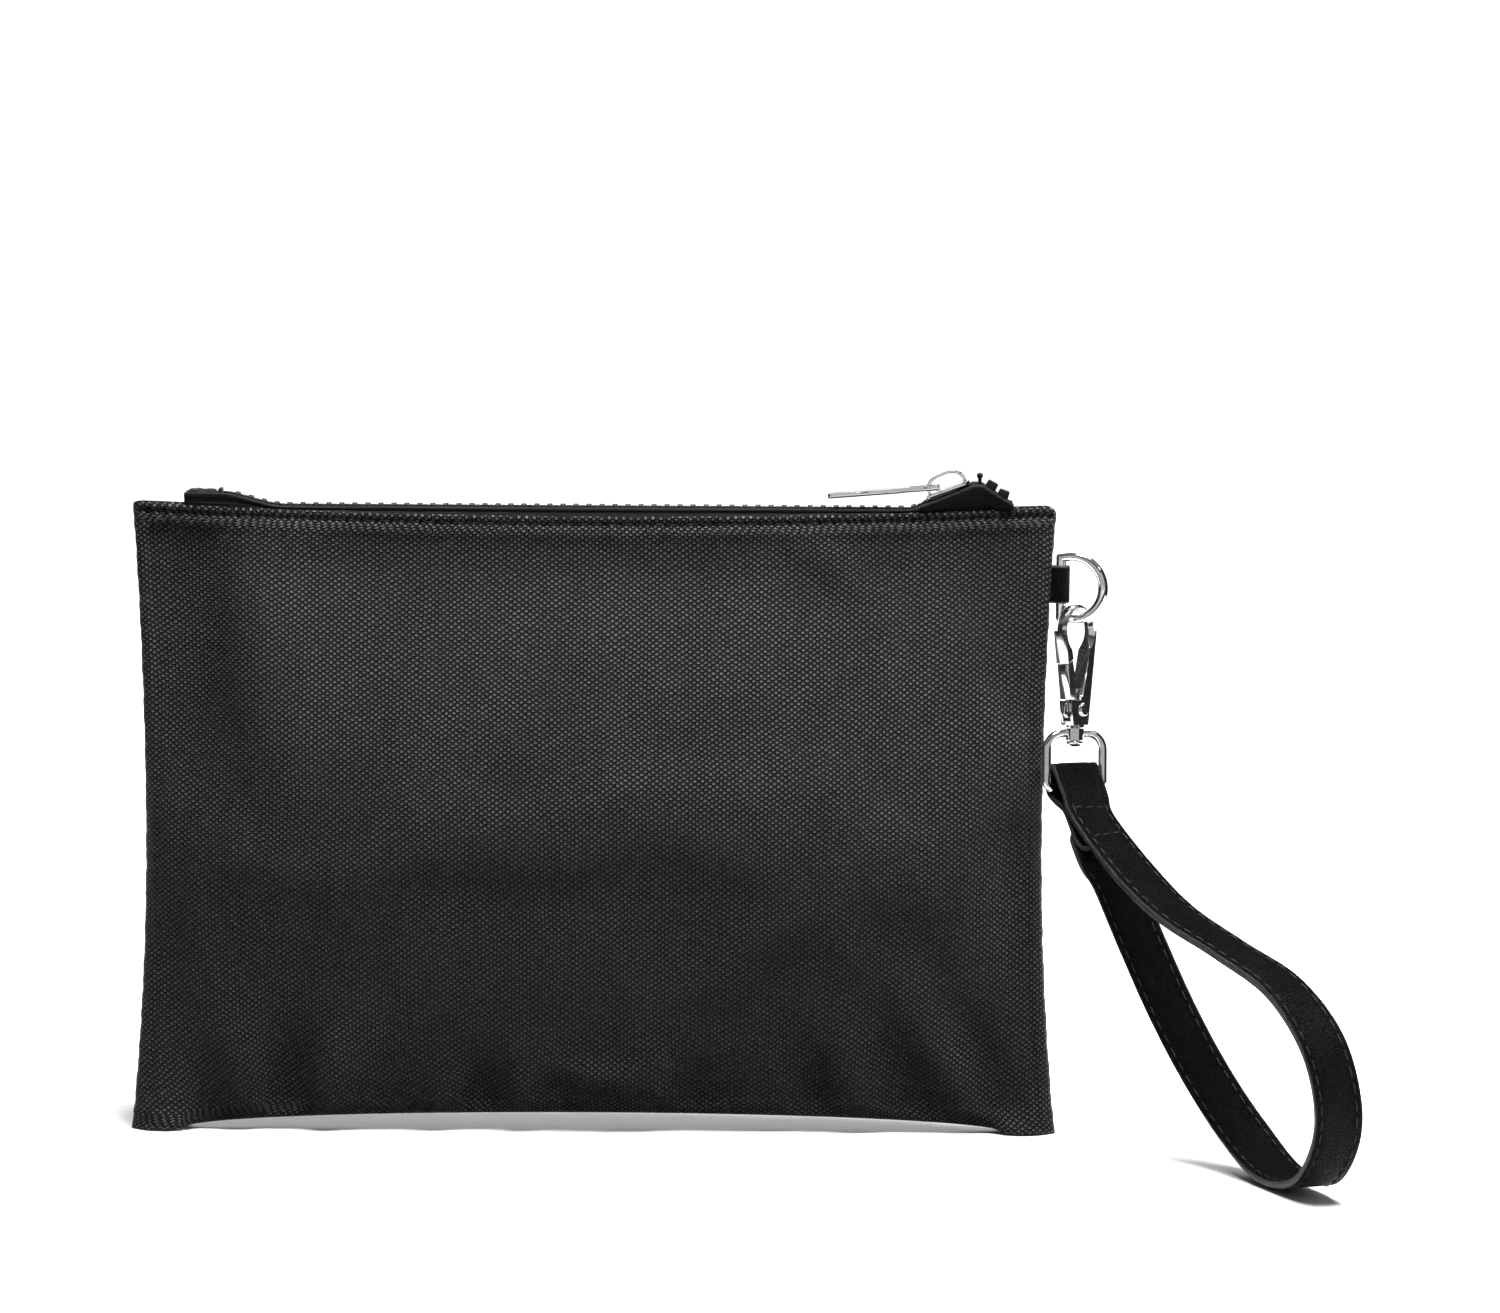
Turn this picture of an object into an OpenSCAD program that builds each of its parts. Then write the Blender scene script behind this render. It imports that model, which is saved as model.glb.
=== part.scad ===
// Zippered wristlet pouch: woven body, moulded zip, chrome slider and snap hook, leather wrist strap.
// +X is the pouch's width, +Y its depth (front is -Y), +Z up.
// The origin is under the middle of the pouch, on the surface that it stands on.

/* [Pouch] */
// Width across the bottom corners
pouch_w = 252; // [246:1:258]
// Height of the side seams
pouch_h = 171.5; // [169:0.5:173]
// Half the width at the waist, where the sides pull in
waist_half = 121.5; // [120:0.1:122]
// Half the width at the top corners
top_half = 124.2; // [123:0.2:126]
// Half thickness that the filling gives the pouch at its fullest
bulge = 16.5; // [12:0.5:19]
// Height that the bottom edge arches up between the corners
bottom_arch = 5; // [1:0.5:6]
// Dip of the mouth's hem between the corners
hem_dip = 3.2; // [0.5:0.1:4]
// Half the distance between the two hems at the middle of the mouth
hem_half = 5.5; // [5.2:0.1:6.5]
// Half the extra depth of the bottom corners that the pouch stands on
foot_half = 4; // [2:0.5:5]
// Thickness of the woven cloth
cloth_t = 1.2; // [0.8:0.1:1.3]
// Thickness of the lining
lining_t = 0.5; // [0.3:0.1:0.6]

/* [Zip] */
// Thickness of the zip tape
tape_t = 0.6; // [0.4:0.1:0.7]
// Distance between teeth on one tape
tooth_pitch = 3.5; // [3.2:0.1:4]
// Height of the chain's middle above the hems' middle
chain_rise = 2.4; // [2:0.1:3]
// Upward tilt of the slider at the closed end, in degrees
slider_tilt = 22; // [20:1:23]
// Length of the slider
slider_len = 12.4; // [12:0.2:13]
// Length of the puller beyond its pivot
puller_len = 29.5; // [24:0.5:32]

/* [Ring and hook] */
// Height of the D-ring's middle
ring_z = 149.8; // [146:0.2:150]
// Radius of the D-ring's wire
ring_wire = 1.35; // [1.1:0.05:1.4]
// Radius of the D-ring's bow along the middle of its wire
bow_r = 8.6; // [8.4:0.1:9]
// Turn of the D-ring towards the front, in degrees
ring_turn = 15; // [10:1:20]
// Forward lean of the hanging hook, in degrees
hook_lean = 7; // [6:0.5:8]
// Turn of the hook's flat about its length, in degrees
hook_turn = 51; // [48:1:54]
// Turn of the swivel eye about its length, in degrees
eye_turn = 15; // [10:1:20]

/* [Wrist strap] */
// Width of the strap
strap_w = 12.8; // [11:0.2:13.4]
// Thickness of each of the strap's two layers
layer_t = 1; // [0.8:0.05:1]

/* [Hidden] */
$fn = 48;

cloth_colour = [0.06, 0.06, 0.065];
lining_colour = [0.09, 0.09, 0.1];
tape_colour = [0.05, 0.05, 0.05];
tooth_colour = [0.04, 0.04, 0.045];
thread_colour = [0.08, 0.08, 0.08];
leather_colour = [0.07, 0.07, 0.075];
chrome_colour = [0.8, 0.81, 0.83];
steel_colour = [0.6, 0.61, 0.63];

// Gap between soft layers that lie on each other
layer_gap = 0.12;
// Gap all round between the lining bag and the panels
lining_gap = 0.4;
// Radial running fit of the hinge pins
fit = 0.05;

// ---------- shared helpers ----------

function mix(a, b, t) = a + (b - a) * t;
function unit(v) = v / norm(v);
function ease(t) = t < 0 ? 0 : t > 1 ? 1 : t * t * (3 - 2 * t);

// Turns p about +Z by a degrees
function turn_z(p, a) = [p.x * cos(a) - p.y * sin(a), p.x * sin(a) + p.y * cos(a), p.z];
// Turns p about +X by a degrees
function turn_x(p, a) = [p.x, p.y * cos(a) - p.z * sin(a), p.y * sin(a) + p.z * cos(a)];

// A smooth curve through four points, at t from b to c
function spline(a, b, c, d, t) =
    0.5 * (2 * b + (c - a) * t + (2 * a - 5 * b + 4 * c - d) * t * t
        + (3 * b - a - 3 * c + d) * t * t * t);

// The list of points on a smooth curve through every point of p, with steps points to a span
function smooth(p, steps) = let (last = len(p) - 1) [
    for (i = [0:last - 1], k = [0:steps - 1])
        spline(p[max(i - 1, 0)], p[i], p[i + 1], p[min(i + 2, last)], k / steps),
    p[last]
];

// Closes a row of rings, each of the same even number of points, into one solid.
// A ring runs along one side and back along the other, and its ends are closed in pairs.
module skin(rings) {
    k = len(rings[0]);
    n = len(rings);
    half = k / 2;
    points = [for (r = rings) each r];
    sides = [
        for (i = [0:n - 2], j = [0:k - 1])
            let (a = i * k + j, b = i * k + (j + 1) % k)
            each [[a, b, b + k], [a, b + k, a + k]]
    ];
    first = [
        for (j = [0:half - 2]) each [[j, k - 1 - j, k - 2 - j], [j, k - 2 - j, j + 1]]
    ];
    last = [for (f = first) [f[0] + (n - 1) * k, f[2] + (n - 1) * k, f[1] + (n - 1) * k]];
    polyhedron(points = points, faces = concat(sides, first, last), convexity = 6);
}

module cyl_between(a, b, r) {
    d = b - a;
    translate(a)
        rotate([0, acos(d.z / norm(d)), atan2(d.y, d.x)])
            cylinder(r = r, h = norm(d));
}

// ---------- pouch form ----------

half_w = pouch_w / 2;
waist_z = pouch_h / 2;
foot_x = half_w - 14;
panel_columns = 34;
panel_rows = 20;

// Half the pouch's width at a height
function side_w(z) =
    z < waist_z
        ? waist_half + (half_w - waist_half) * pow(1 - z / waist_z, 2)
        : waist_half + (top_half - waist_half) * pow(z / waist_z - 1, 2);

function bottom_z(x) = bottom_arch * sqrt(max(0, 1 - pow(x / foot_x, 2)));
function hem_z(x) = pouch_h - hem_dip * (1 - pow(x / half_w, 2));

// How full the pouch is across its width, from 0 at the seams to 1
function across(u) = pow(max(0, 1 - pow(abs(u), 3.2)), 0.6);
// How full it is up its height, from 0 at the bottom edge to 1 and back to 0 at the hem
function upward(v) = v < 0.5 ? pow(sin(180 * v), 0.65) : pow(cos(180 * (v - 0.5)), 1.5);
// The two bottom corners that carry the pouch
function foot(u, v) = pow(1 - v, 10) * max(0, 1 - pow((abs(u) - 0.93) / 0.07, 2));

// Half thickness of the pouch at a share u of its half width and v of its height
function half_t(u, v) =
    cloth_t + (bulge - cloth_t) * across(u) * upward(v)
        + (hem_half - cloth_t) * pow(v, 6) * sqrt(across(u)) + foot_half * foot(u, v);

function body_x(u, v) = u * side_w(v * pouch_h);
function body_z(u, v) = let (x = body_x(u, v)) mix(bottom_z(x), hem_z(x), v);

function column(i) = sin(90 * (2 * i / panel_columns - 1));
function row(j) = (1 - cos(180 * j / panel_rows)) / 2;

// One woven panel on the -Y side, as rings up the outside and back down the inside
function panel_rings() = [
    for (i = [0:panel_columns]) let (u = column(i)) [
        for (j = [0:panel_rows]) let (v = row(j)) [body_x(u, v), -half_t(u, v), body_z(u, v)],
        for (j = [panel_rows:-1:0]) let (v = row(j))
            [body_x(u, v), j == 0 ? 0 : -max(0, half_t(u, v) - cloth_t), body_z(u, v)]
    ]
];

lining_u = 0.965;
lining_bottom = 0.035;
lining_top = 0.955;
lining_edge = 0.05;

// One half of the lining bag, which hangs inside the panels and meets the other half at its edges
function lining_out(u, v) =
    let (room = half_t(u * lining_u, mix(lining_bottom, lining_top, v)) - cloth_t - lining_gap)
    let (edge = ease((1 - abs(u)) / lining_edge) * ease(v / lining_edge))
    mix(lining_t, max(lining_t, room), edge);

function lining_rings() = [
    for (i = [0:panel_columns]) let (u = column(i), uu = u * lining_u) [
        for (j = [0:panel_rows]) let (v = row(j), vv = mix(lining_bottom, lining_top, v))
            [body_x(uu, vv), -lining_out(u, v), body_z(uu, vv)],
        for (j = [panel_rows:-1:0]) let (v = row(j), vv = mix(lining_bottom, lining_top, v))
            [body_x(uu, vv), lining_t - lining_out(u, v), body_z(uu, vv)]
    ]
];

module front_panel() { color(cloth_colour) skin(panel_rings()); }
module back_panel() { color(cloth_colour) mirror([0, 1, 0]) skin(panel_rings()); }
module front_lining() { color(lining_colour) skin(lining_rings()); }
module back_lining() { color(lining_colour) mirror([0, 1, 0]) skin(lining_rings()); }

// ---------- top stitching ----------

hem_thread_r = 0.22;
hem_thread_drop = 1.1;
hem_thread_sides = 6;
hem_thread_end = 0.975;

function hem_thread_ring(u) =
    let (v = 1 - hem_thread_drop / pouch_h, x = body_x(u, v))
    [
        for (k = [0:hem_thread_sides - 1]) let (a = 360 * k / hem_thread_sides)
            [
                x,
                -half_t(u, v) - hem_thread_r - layer_gap - hem_thread_r * cos(a),
                body_z(u, v) + hem_thread_r * sin(a)
            ]
    ];

module hem_thread() {
    color(thread_colour)
        skin([for (i = [0:panel_columns]) hem_thread_ring(column(i) * hem_thread_end)]);
}

module hem_thread_front() { hem_thread(); }
module hem_thread_back() { mirror([0, 1, 0]) hem_thread(); }

// ---------- zip chain and tapes ----------

// The chain runs level, lifts at its left end, and climbs through the slider at its right end
left_end_x = 25 - half_w;
left_lift = 3.4;
left_lift_run = 18;
slider_x = half_w - 30.6;
slider_z = pouch_h + 3.4;
chain_z = pouch_h - hem_dip + chain_rise;
climb_x = slider_x - (slider_z - chain_z) / tan(slider_tilt);
crest_x = slider_x + 6.4;
crest_z = slider_z + (crest_x - slider_x) * tan(slider_tilt);
crest_flat = 2.2;
right_end_x = crest_x + 10;
right_end_z = pouch_h + 1;

function chain_at(x) =
    x < left_end_x + left_lift_run
        ? chain_z + left_lift * ease((left_end_x + left_lift_run - x) / left_lift_run)
    : x < climb_x ? chain_z
    : x < crest_x ? chain_z + (x - climb_x) * tan(slider_tilt)
    : x < crest_x + crest_flat ? crest_z
    : mix(crest_z, right_end_z, min(1, (x - crest_x - crest_flat) / (right_end_x - crest_x - crest_flat)));

tooth_half = 0.9;
tooth_reach = 0.95;
tooth_back = 2.7;
tape_inner = tooth_back + 0.1;
tape_hang = 5;
tape_drop = 0.4;
tape_gap = 0.3;
shoulder_in = 5;
shoulder_run = 1.5;

// Room for the tape inside the hem at a height below it
function tape_y(u, drop) = half_t(u, 1 - drop / pouch_h) - cloth_t - tape_gap;
// How far the tape stands out level beside the chain, from 0 to 1 where it passes the slider
function shoulder(x) = x < 0 ? 0 : ease((chain_at(x) - chain_z) / shoulder_run);

// The tape leaves the chain, turns down at a shoulder and is sewn inside the hem
function tape_ring(x) =
    let (
        u = x / top_half,
        y = tape_y(u, tape_drop),
        y_low = min(y, tape_y(u, tape_drop + tape_hang)),
        z = hem_z(x) - tape_drop,
        top = chain_at(x),
        w = shoulder(x),
        out_y = mix(mix(tape_inner, y, 0.4), shoulder_in + tape_t, w),
        in_y = mix(mix(tape_inner, y - tape_t, 0.4), shoulder_in, w),
        out_z = mix(mix(top + tape_t / 2, z, 0.4), top + tape_t / 2, w),
        in_z = mix(mix(top - tape_t / 2, z - tape_t, 0.4), top - tape_t / 2, w)
    )
    [
        [x, -y_low, z - tape_hang], [x, -y, z], [x, -out_y, out_z],
        [x, -tape_inner, top + tape_t / 2], [x, -tape_inner, top - tape_t / 2],
        [x, -in_y, in_z], [x, tape_t - y, z - tape_t], [x, tape_t - y_low, z - tape_hang]
    ];

tape_left = left_end_x - 9;
tape_right = right_end_x + 1;
level_steps = 39;
climb_steps = 5;
fall_steps = 3;
tape_x = concat(
    [for (i = [0:level_steps - 1]) mix(tape_left, climb_x, i / level_steps)],
    [for (i = [0:climb_steps]) mix(climb_x, crest_x, i / climb_steps)],
    [for (i = [0:fall_steps]) mix(crest_x + crest_flat, tape_right, i / fall_steps)]
);

module zip_tape() {
    color(tape_colour)
        skin([for (x = tape_x) tape_ring(x)]);
}

module zip_tape_front() { zip_tape(); }
module zip_tape_back() { mirror([0, 1, 0]) zip_tape(); }

tooth_len = 1.45;
tooth_neck = 0.9;
tooth_foot = 0.9;
tooth_head = 0.1;
tooth_lap = 0.1;

// One moulded tooth: a block clamped on the tape's edge, a neck, and a wider head past the middle
module tooth() {
    translate([-tooth_len / 2, -tooth_back, -tooth_half])
        cube([tooth_len, tooth_back - tooth_foot, 2 * tooth_half]);
    translate([-tooth_neck / 2, -tooth_foot - tooth_lap, -tooth_half])
        cube([tooth_neck, tooth_foot + tooth_head + 2 * tooth_lap, 2 * tooth_half]);
    translate([-tooth_len / 2, tooth_head, -tooth_half])
        cube([tooth_len, tooth_reach - tooth_head, 2 * tooth_half]);
}

first_tooth_in = 3.2;
last_tooth_in = 0.6;
first_tooth_x = left_end_x + first_tooth_in;
last_tooth_x = crest_x - last_tooth_in;
tooth_count = floor((last_tooth_x - first_tooth_x) / tooth_pitch);

// A row of teeth that follows the chain; the other tape's row is half a pitch further on
module tooth_row(shift) {
    for (i = [0:tooth_count - 1])
        let (
            x = first_tooth_x + (i + shift) * tooth_pitch,
            slope = atan((chain_at(x + tooth_neck / 2) - chain_at(x - tooth_neck / 2)) / tooth_neck)
        )
            translate([x, 0, chain_at(x)])
                rotate([0, -slope, 0])
                    tooth();
}

module zip_teeth_front() { color(tooth_colour) tooth_row(0); }
module zip_teeth_back() { color(tooth_colour) mirror([0, 1, 0]) tooth_row(0.5); }

// The zip's left end: the tapes' ends folded over each other into a small standing tab
end_tab_len = 8.6;
end_tab_half = 2.5;
end_tab_h = 4.2;
end_tab_gap = 0.5;
end_tab_sink = 0.2;
end_tab_slope = [1.6, 1.4];

module zip_end_tab() {
    color(tape_colour)
        translate([left_end_x - end_tab_gap - end_tab_len, 0, pouch_h - end_tab_sink])
            rotate([90, 0, 0])
                linear_extrude(height = 2 * end_tab_half, center = true)
                    polygon([
                        [0, 0], [0, end_tab_h - end_tab_slope.y], [end_tab_slope.x, end_tab_h],
                        [end_tab_len, end_tab_h], [end_tab_len, 0]
                    ]);
}

stop_len = 1.1;
stop_half = 2.2;
stop_h = 3;
stop_in = 0.6;

// The moulded block across both rows that stops the slider when the zip is open
module zip_bottom_stop() {
    color(tooth_colour)
        translate([left_end_x + stop_in, 0, chain_at(left_end_x)])
            cube([stop_len, 2 * stop_half, stop_h], center = true);
}

// Offsets from the chain's crest
stop_post_at = [1.6, -1.4, -1.6];
stop_post_r = 0.5;
stop_post_h = 4;
stop_head_r = 0.85;
stop_head_rise = 4.2;
near_block_at = [4.7, 1.2, -0.7];
near_block = [3.1, 2.6, 3.3];
near_block_turn = 28;
far_block_at = [7.9, -1.3, -2.6];
far_block = [3, 2.4, 3];
far_block_turn = 20;

// Two blocks and a headed post above the tapes' right ends, which stop the slider when it is closed
module zip_top_stops() {
    color(tooth_colour)
        translate([crest_x, 0, crest_z]) {
            translate(stop_post_at)
                cylinder(r = stop_post_r, h = stop_post_h);
            translate(stop_post_at + [0, 0, stop_head_rise])
                sphere(r = stop_head_r);
            translate(near_block_at)
                rotate([0, near_block_turn, 0])
                    cube(near_block, center = true);
            translate(far_block_at)
                rotate([0, far_block_turn, 0])
                    cube(far_block, center = true);
        }
}

// ---------- slider, bridge and puller ----------

// Places a piece drawn around the slider's middle, with +X along the tilted chain
module at_slider() {
    translate([slider_x, 0, slider_z])
        rotate([0, -slider_tilt, 0])
            children();
}

slider_half = 4.3;
slider_tail_half = 3.3;
plate_t = 0.8;
plate_gap_half = 1.1;
flange_t = 0.45;
flange_h = 0.42;
slider_nose_r = 2.2;
slider_tail_r = 1;
flange_short = 4.6;
flange_back = 1.2;
wedge_in = 2.2;

module slider_plate_outline() {
    hull()
        for (side = [-1, 1]) {
            translate([slider_len / 2 - slider_nose_r, side * (slider_half - slider_nose_r)])
                circle(r = slider_nose_r, $fn = 32);
            translate([slider_tail_r - slider_len / 2, side * (slider_tail_half - slider_tail_r)])
                circle(r = slider_tail_r, $fn = 32);
        }
}

// Two plates with turned-in side flanges, joined at the nose by a wedge that parts the teeth
module slider_body() {
    wedge_x = slider_len / 2 - wedge_in;
    color(chrome_colour) at_slider() {
        for (side = [-1, 1])
            translate([0, 0, side * (plate_gap_half + plate_t / 2)])
                linear_extrude(height = plate_t, center = true)
                    slider_plate_outline();
        for (side = [-1, 1], level = [-plate_gap_half - 0.1, plate_gap_half - flange_h])
            translate([-flange_back, side * (slider_tail_half - flange_t / 2), level])
                linear_extrude(height = flange_h + 0.1)
                    square([slider_len - flange_short, flange_t], center = true);
        translate([wedge_x, 0, 0])
            linear_extrude(height = 2 * plate_gap_half + 0.2, center = true)
                polygon([[-0.2, 0], [1.6, 0.9], [1.9, 0], [1.6, -0.9]]);
    }
}

bridge_half = 1.1;
bridge_t = 0.9;
bridge_low = plate_gap_half + plate_t;
bridge_left = 5.4;
bridge_right = 5.6;
bridge_h = 4.4;
bridge_steps = 20;
bridge_square = 2.6;

// A flattened arch: half of a rounded rectangle, drawn as a superellipse
function bridge_point(a, inset) =
    let (
        run = cos(a) > 0 ? bridge_right : bridge_left,
        c = pow(abs(cos(a)), 2 / bridge_square) * sign(cos(a)),
        s = pow(abs(sin(a)), 2 / bridge_square)
    )
    [(run - inset) * c, bridge_low + (bridge_h - inset) * s];

module slider_bridge() {
    outer = [for (k = [0:bridge_steps]) bridge_point(180 * k / bridge_steps, 0)];
    inner = [for (k = [bridge_steps:-1:0]) bridge_point(180 * k / bridge_steps, bridge_t)];
    color(chrome_colour) at_slider()
        rotate([90, 0, 0])
            linear_extrude(height = 2 * bridge_half, center = true)
                polygon(concat(outer, inner));
}

// The puller's crossbar turns under the bridge
pivot_x = -2.4;
pivot_z = bridge_low + 1.05;
crossbar_r = 0.75;
puller_t = 1.3;
puller_half = 3.3;
puller_neck_half = 2.2;
puller_hole_len = 7.4;
puller_rest = 17.5;
puller_shoulder = 1;
puller_flare = 3.6;
puller_chamfer = 0.6;
puller_hole_side = 0.3;

module zip_puller() {
    color(chrome_colour) at_slider()
        translate([pivot_x, 0, pivot_z])
            rotate([0, puller_rest, 0]) {
                rotate([90, 0, 0])
                    cylinder(r = crossbar_r, h = 2 * puller_neck_half, center = true);
                difference() {
                    linear_extrude(height = puller_t, center = true)
                        polygon([
                            [0, puller_neck_half],
                            [-puller_hole_len - puller_shoulder, puller_neck_half],
                            [-puller_hole_len - puller_flare, puller_half],
                            [puller_chamfer - puller_len, puller_half],
                            [-puller_len, puller_half - puller_chamfer],
                            [-puller_len, puller_chamfer - puller_half],
                            [puller_chamfer - puller_len, -puller_half],
                            [-puller_hole_len - puller_flare, -puller_half],
                            [-puller_hole_len - puller_shoulder, -puller_neck_half],
                            [0, -puller_neck_half]
                        ]);
                    translate([-puller_hole_len / 2, 0, 0])
                        cube(
                            [puller_hole_len, 2 * (bridge_half + puller_hole_side), 3],
                            center = true
                        );
                }
            }
}

// ---------- ring tab and D-ring ----------

tab_t = 1;
tab_h = 10.3;
tab_low = 4.2;
tab_r = ring_wire + fit;
tab_reach = 6;
bar_x = side_w(ring_z) + 2.6;
bow_off = 2.95;

// A strip of leather folded round the ring's bar, with both ends caught in the side seam
module ring_tab() {
    color(leather_colour)
        translate([bar_x, 0, ring_z - tab_low])
            difference() {
                union() {
                    cylinder(r = tab_r + tab_t, h = tab_h);
                    translate([-tab_reach, -tab_t, 0])
                        cube([tab_reach, 2 * tab_t, tab_h]);
                }
                translate([0, 0, -1])
                    cylinder(r = tab_r, h = tab_h + 2);
            }
}

bow_angle = acos(-bow_off / bow_r);
bar_half = bow_r * sin(bow_angle);

module torus_arc(r, wire, from, to) {
    rotate([0, 0, from])
        rotate_extrude(angle = to - from, $fn = 72)
            translate([r, 0])
                circle(r = wire, $fn = 32);
}

module d_ring() {
    color(chrome_colour)
        translate([bar_x, 0, ring_z])
            rotate([0, 0, -ring_turn]) {
                cyl_between([0, 0, -bar_half], [0, 0, bar_half], ring_wire);
                for (side = [-1, 1])
                    translate([0, 0, side * bar_half])
                        sphere(r = ring_wire + 0.03, $fn = 32);
                translate([bow_off, 0, 0])
                    rotate([90, 0, 0])
                        torus_arc(bow_r, ring_wire, -bow_angle, bow_angle);
            }
}

// ---------- snap hook ----------

// Where the ring's wire carries the hook, a little outside its lowest point
hang_angle = 8;
hang_at = [bar_x, 0, ring_z]
    + turn_z([bow_off + bow_r * sin(hang_angle), 0, -bow_r * cos(hang_angle)], -ring_turn);

// The frame that hangs from the ring
module at_hang() {
    translate(hang_at)
        rotate([-hook_lean, 0, 0])
            children();
}

// Draws an outline that lies in the hook's own plane, s to its gate side and z up
module in_hook_plane(thickness) {
    at_hang()
        rotate([0, 0, 180 + hook_turn])
            rotate([90, 0, 0])
                linear_extrude(height = thickness, center = true)
                    children();
}

hook_t = 4;
head_r = 7.1;
head_z = -3.05;
mouth_r = 5.2;
mouth_bevel = 1.3;
cone_lead = 0.5;
rim_bevel = 1.2;
mouth_foot = -19.6;
mouth_foot_r = 1.2;
hook_foot = -28.4;
hook_foot_half = 3.5;
gate_joint_z = -21.8;
gate_cut_s = -0.2;
gate_reach = 14.2;
gate_gap = 0.3;
slot_half = 1.1;
slot_wall = -3.3;
slot_floor = -26.8;
slot_h = 8.2;
rivet_s = -1.3;
rivet_z = -24.2;
rivet_r = 0.9;
post_r = 1.25;
post_seat = -26.6;
collar_r = 2.5;
collar_low = -29.1;

module hook_outline() {
    hull() {
        translate([0, head_z])
            circle(r = head_r);
        translate([-hook_foot_half, hook_foot])
            square([2 * hook_foot_half, 1]);
    }
}

module mouth_outline() {
    hull() {
        translate([0, head_z])
            circle(r = mouth_r);
        translate([0, mouth_foot])
            circle(r = mouth_foot_r);
    }
}

// The part of the hook that swings with the gate, bounded by an arc about the rivet
module gate_sweep(from, low, reach) {
    intersection() {
        translate([from, low])
            square([2 * head_r, 2 * head_r]);
        translate([rivet_s, rivet_z])
            circle(r = reach, $fn = 96);
    }
}

// Opens the mouth's edge out towards one face
module mouth_cone() {
    translate([0, 0, -cone_lead])
        cylinder(
            r1 = mouth_r - cone_lead, r2 = mouth_r + mouth_bevel + cone_lead,
            h = mouth_bevel + 2 * cone_lead
        );
}

// Bevels the arch's outer rim at one face
module rim_cut() {
    rotate_extrude(angle = 180, $fn = 96)
        polygon([
            [head_r - rim_bevel, hook_t / 2 + 0.01], [head_r + 1, hook_t / 2 + 0.01],
            [head_r + 1, hook_t / 2 - rim_bevel - 1]
        ]);
}

// The cast body: arch, nose, spine and forked foot
module hook_body() {
    color(chrome_colour) {
        difference() {
            in_hook_plane(hook_t)
                difference() {
                    hook_outline();
                    mouth_outline();
                    gate_sweep(gate_cut_s, gate_joint_z, gate_reach + gate_gap / 2);
                }
            for (side = [-1, 1])
                at_hang()
                    rotate([0, 0, 180 + hook_turn])
                        translate([0, side * (hook_t / 2 - mouth_bevel), head_z])
                            rotate([-90 * side, 0, 0])
                                mouth_cone();
            for (side = [0, 1])
                at_hang()
                    rotate([0, 0, 180 + hook_turn])
                        translate([0, 0, head_z])
                            mirror([0, side, 0])
                                rotate([90, 0, 0])
                                    rim_cut();
            in_hook_plane(2 * slot_half)
                translate([slot_wall, slot_floor])
                    square([2 * head_r, slot_h]);
            in_hook_plane(2 * hook_t)
                translate([rivet_s, rivet_z])
                    circle(r = rivet_r + fit);
            at_hang()
                translate([0, 0, collar_low - 1])
                    cylinder(r = post_r + fit / 2, h = slot_floor - collar_low + 2);
        }
        at_hang()
            translate([0, 0, collar_low])
                difference() {
                    cylinder(r = collar_r, h = hook_foot - collar_low + 0.1);
                    translate([0, 0, -1])
                        cylinder(r = post_r + fit / 2, h = 3);
                }
    }
}

gate_arm_s = 2.1;
gate_arm_t = 3.6;
gate_root_t = 0.8;
gate_root_n = 0.45;

// The sprung gate: a wide arm on the open side, a root on the rivet and a thumb tab
module hook_gate() {
    color(chrome_colour) {
        in_hook_plane(gate_arm_t)
            difference() {
                intersection() {
                    hook_outline();
                    gate_sweep(gate_arm_s, gate_joint_z + gate_gap, gate_reach - gate_gap / 2);
                }
                mouth_outline();
            }
        difference() {
            at_hang()
                rotate([0, 0, 180 + hook_turn])
                    translate([0, gate_root_n, 0])
                        rotate([90, 0, 0])
                            linear_extrude(height = gate_root_t, center = true)
                                translate([rivet_s, rivet_z])
                                    polygon([
                                        [-1.3, -1.3], [-1.3, 1], [3.5, 3.8], [3.9, 4.8],
                                        [5.5, 4.8], [5.9, 2], [7, 1.4], [7.3, -1.2],
                                        [6.3, -2.2], [2.3, -2.1]
                                    ]);
            in_hook_plane(2 * hook_t)
                translate([rivet_s, rivet_z])
                    circle(r = rivet_r + fit);
        }
    }
}

rivet_head_r = 1.75;
rivet_head_t = 0.5;

module gate_rivet() {
    color(chrome_colour)
        at_hang()
            rotate([0, 0, 180 + hook_turn])
                translate([rivet_s, 0, rivet_z])
                    rotate([90, 0, 0]) {
                        cylinder(r = rivet_r, h = hook_t + 0.1, center = true);
                        for (side = [-1, 1])
                            translate([0, 0, side * (hook_t / 2 + rivet_head_t / 2)])
                                cylinder(r = rivet_head_r, h = rivet_head_t, center = true);
                    }
}

spring_r = 1.25;
spring_wire = 0.17;
spring_turns = 2;
spring_first = 0.25;

// A small torsion spring on the rivet, between the gate's root and the far cheek
module gate_spring() {
    color(steel_colour)
        at_hang()
            rotate([0, 0, 180 + hook_turn])
                translate([rivet_s, 0, rivet_z])
                    rotate([90, 0, 0])
                        for (turn = [0:spring_turns - 1])
                            translate([0, 0, spring_first + 2.1 * turn * spring_wire])
                                rotate_extrude($fn = 48)
                                    translate([spring_r, 0])
                                        circle(r = spring_wire, $fn = 16);
}

// ---------- swivel post and eye ----------

boss_top = -29.3;
boss_h = 3.2;
boss_r = 2.45;
post_head_r = 2.35;
post_head_h = 1.6;
eye_wire = 1.2;
eye_half = 7.9;
eye_arm_z = -30.6;
eye_shoulder = 4.6;
eye_bar_z = -45.2;
eye_corner = 1.6;

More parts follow.
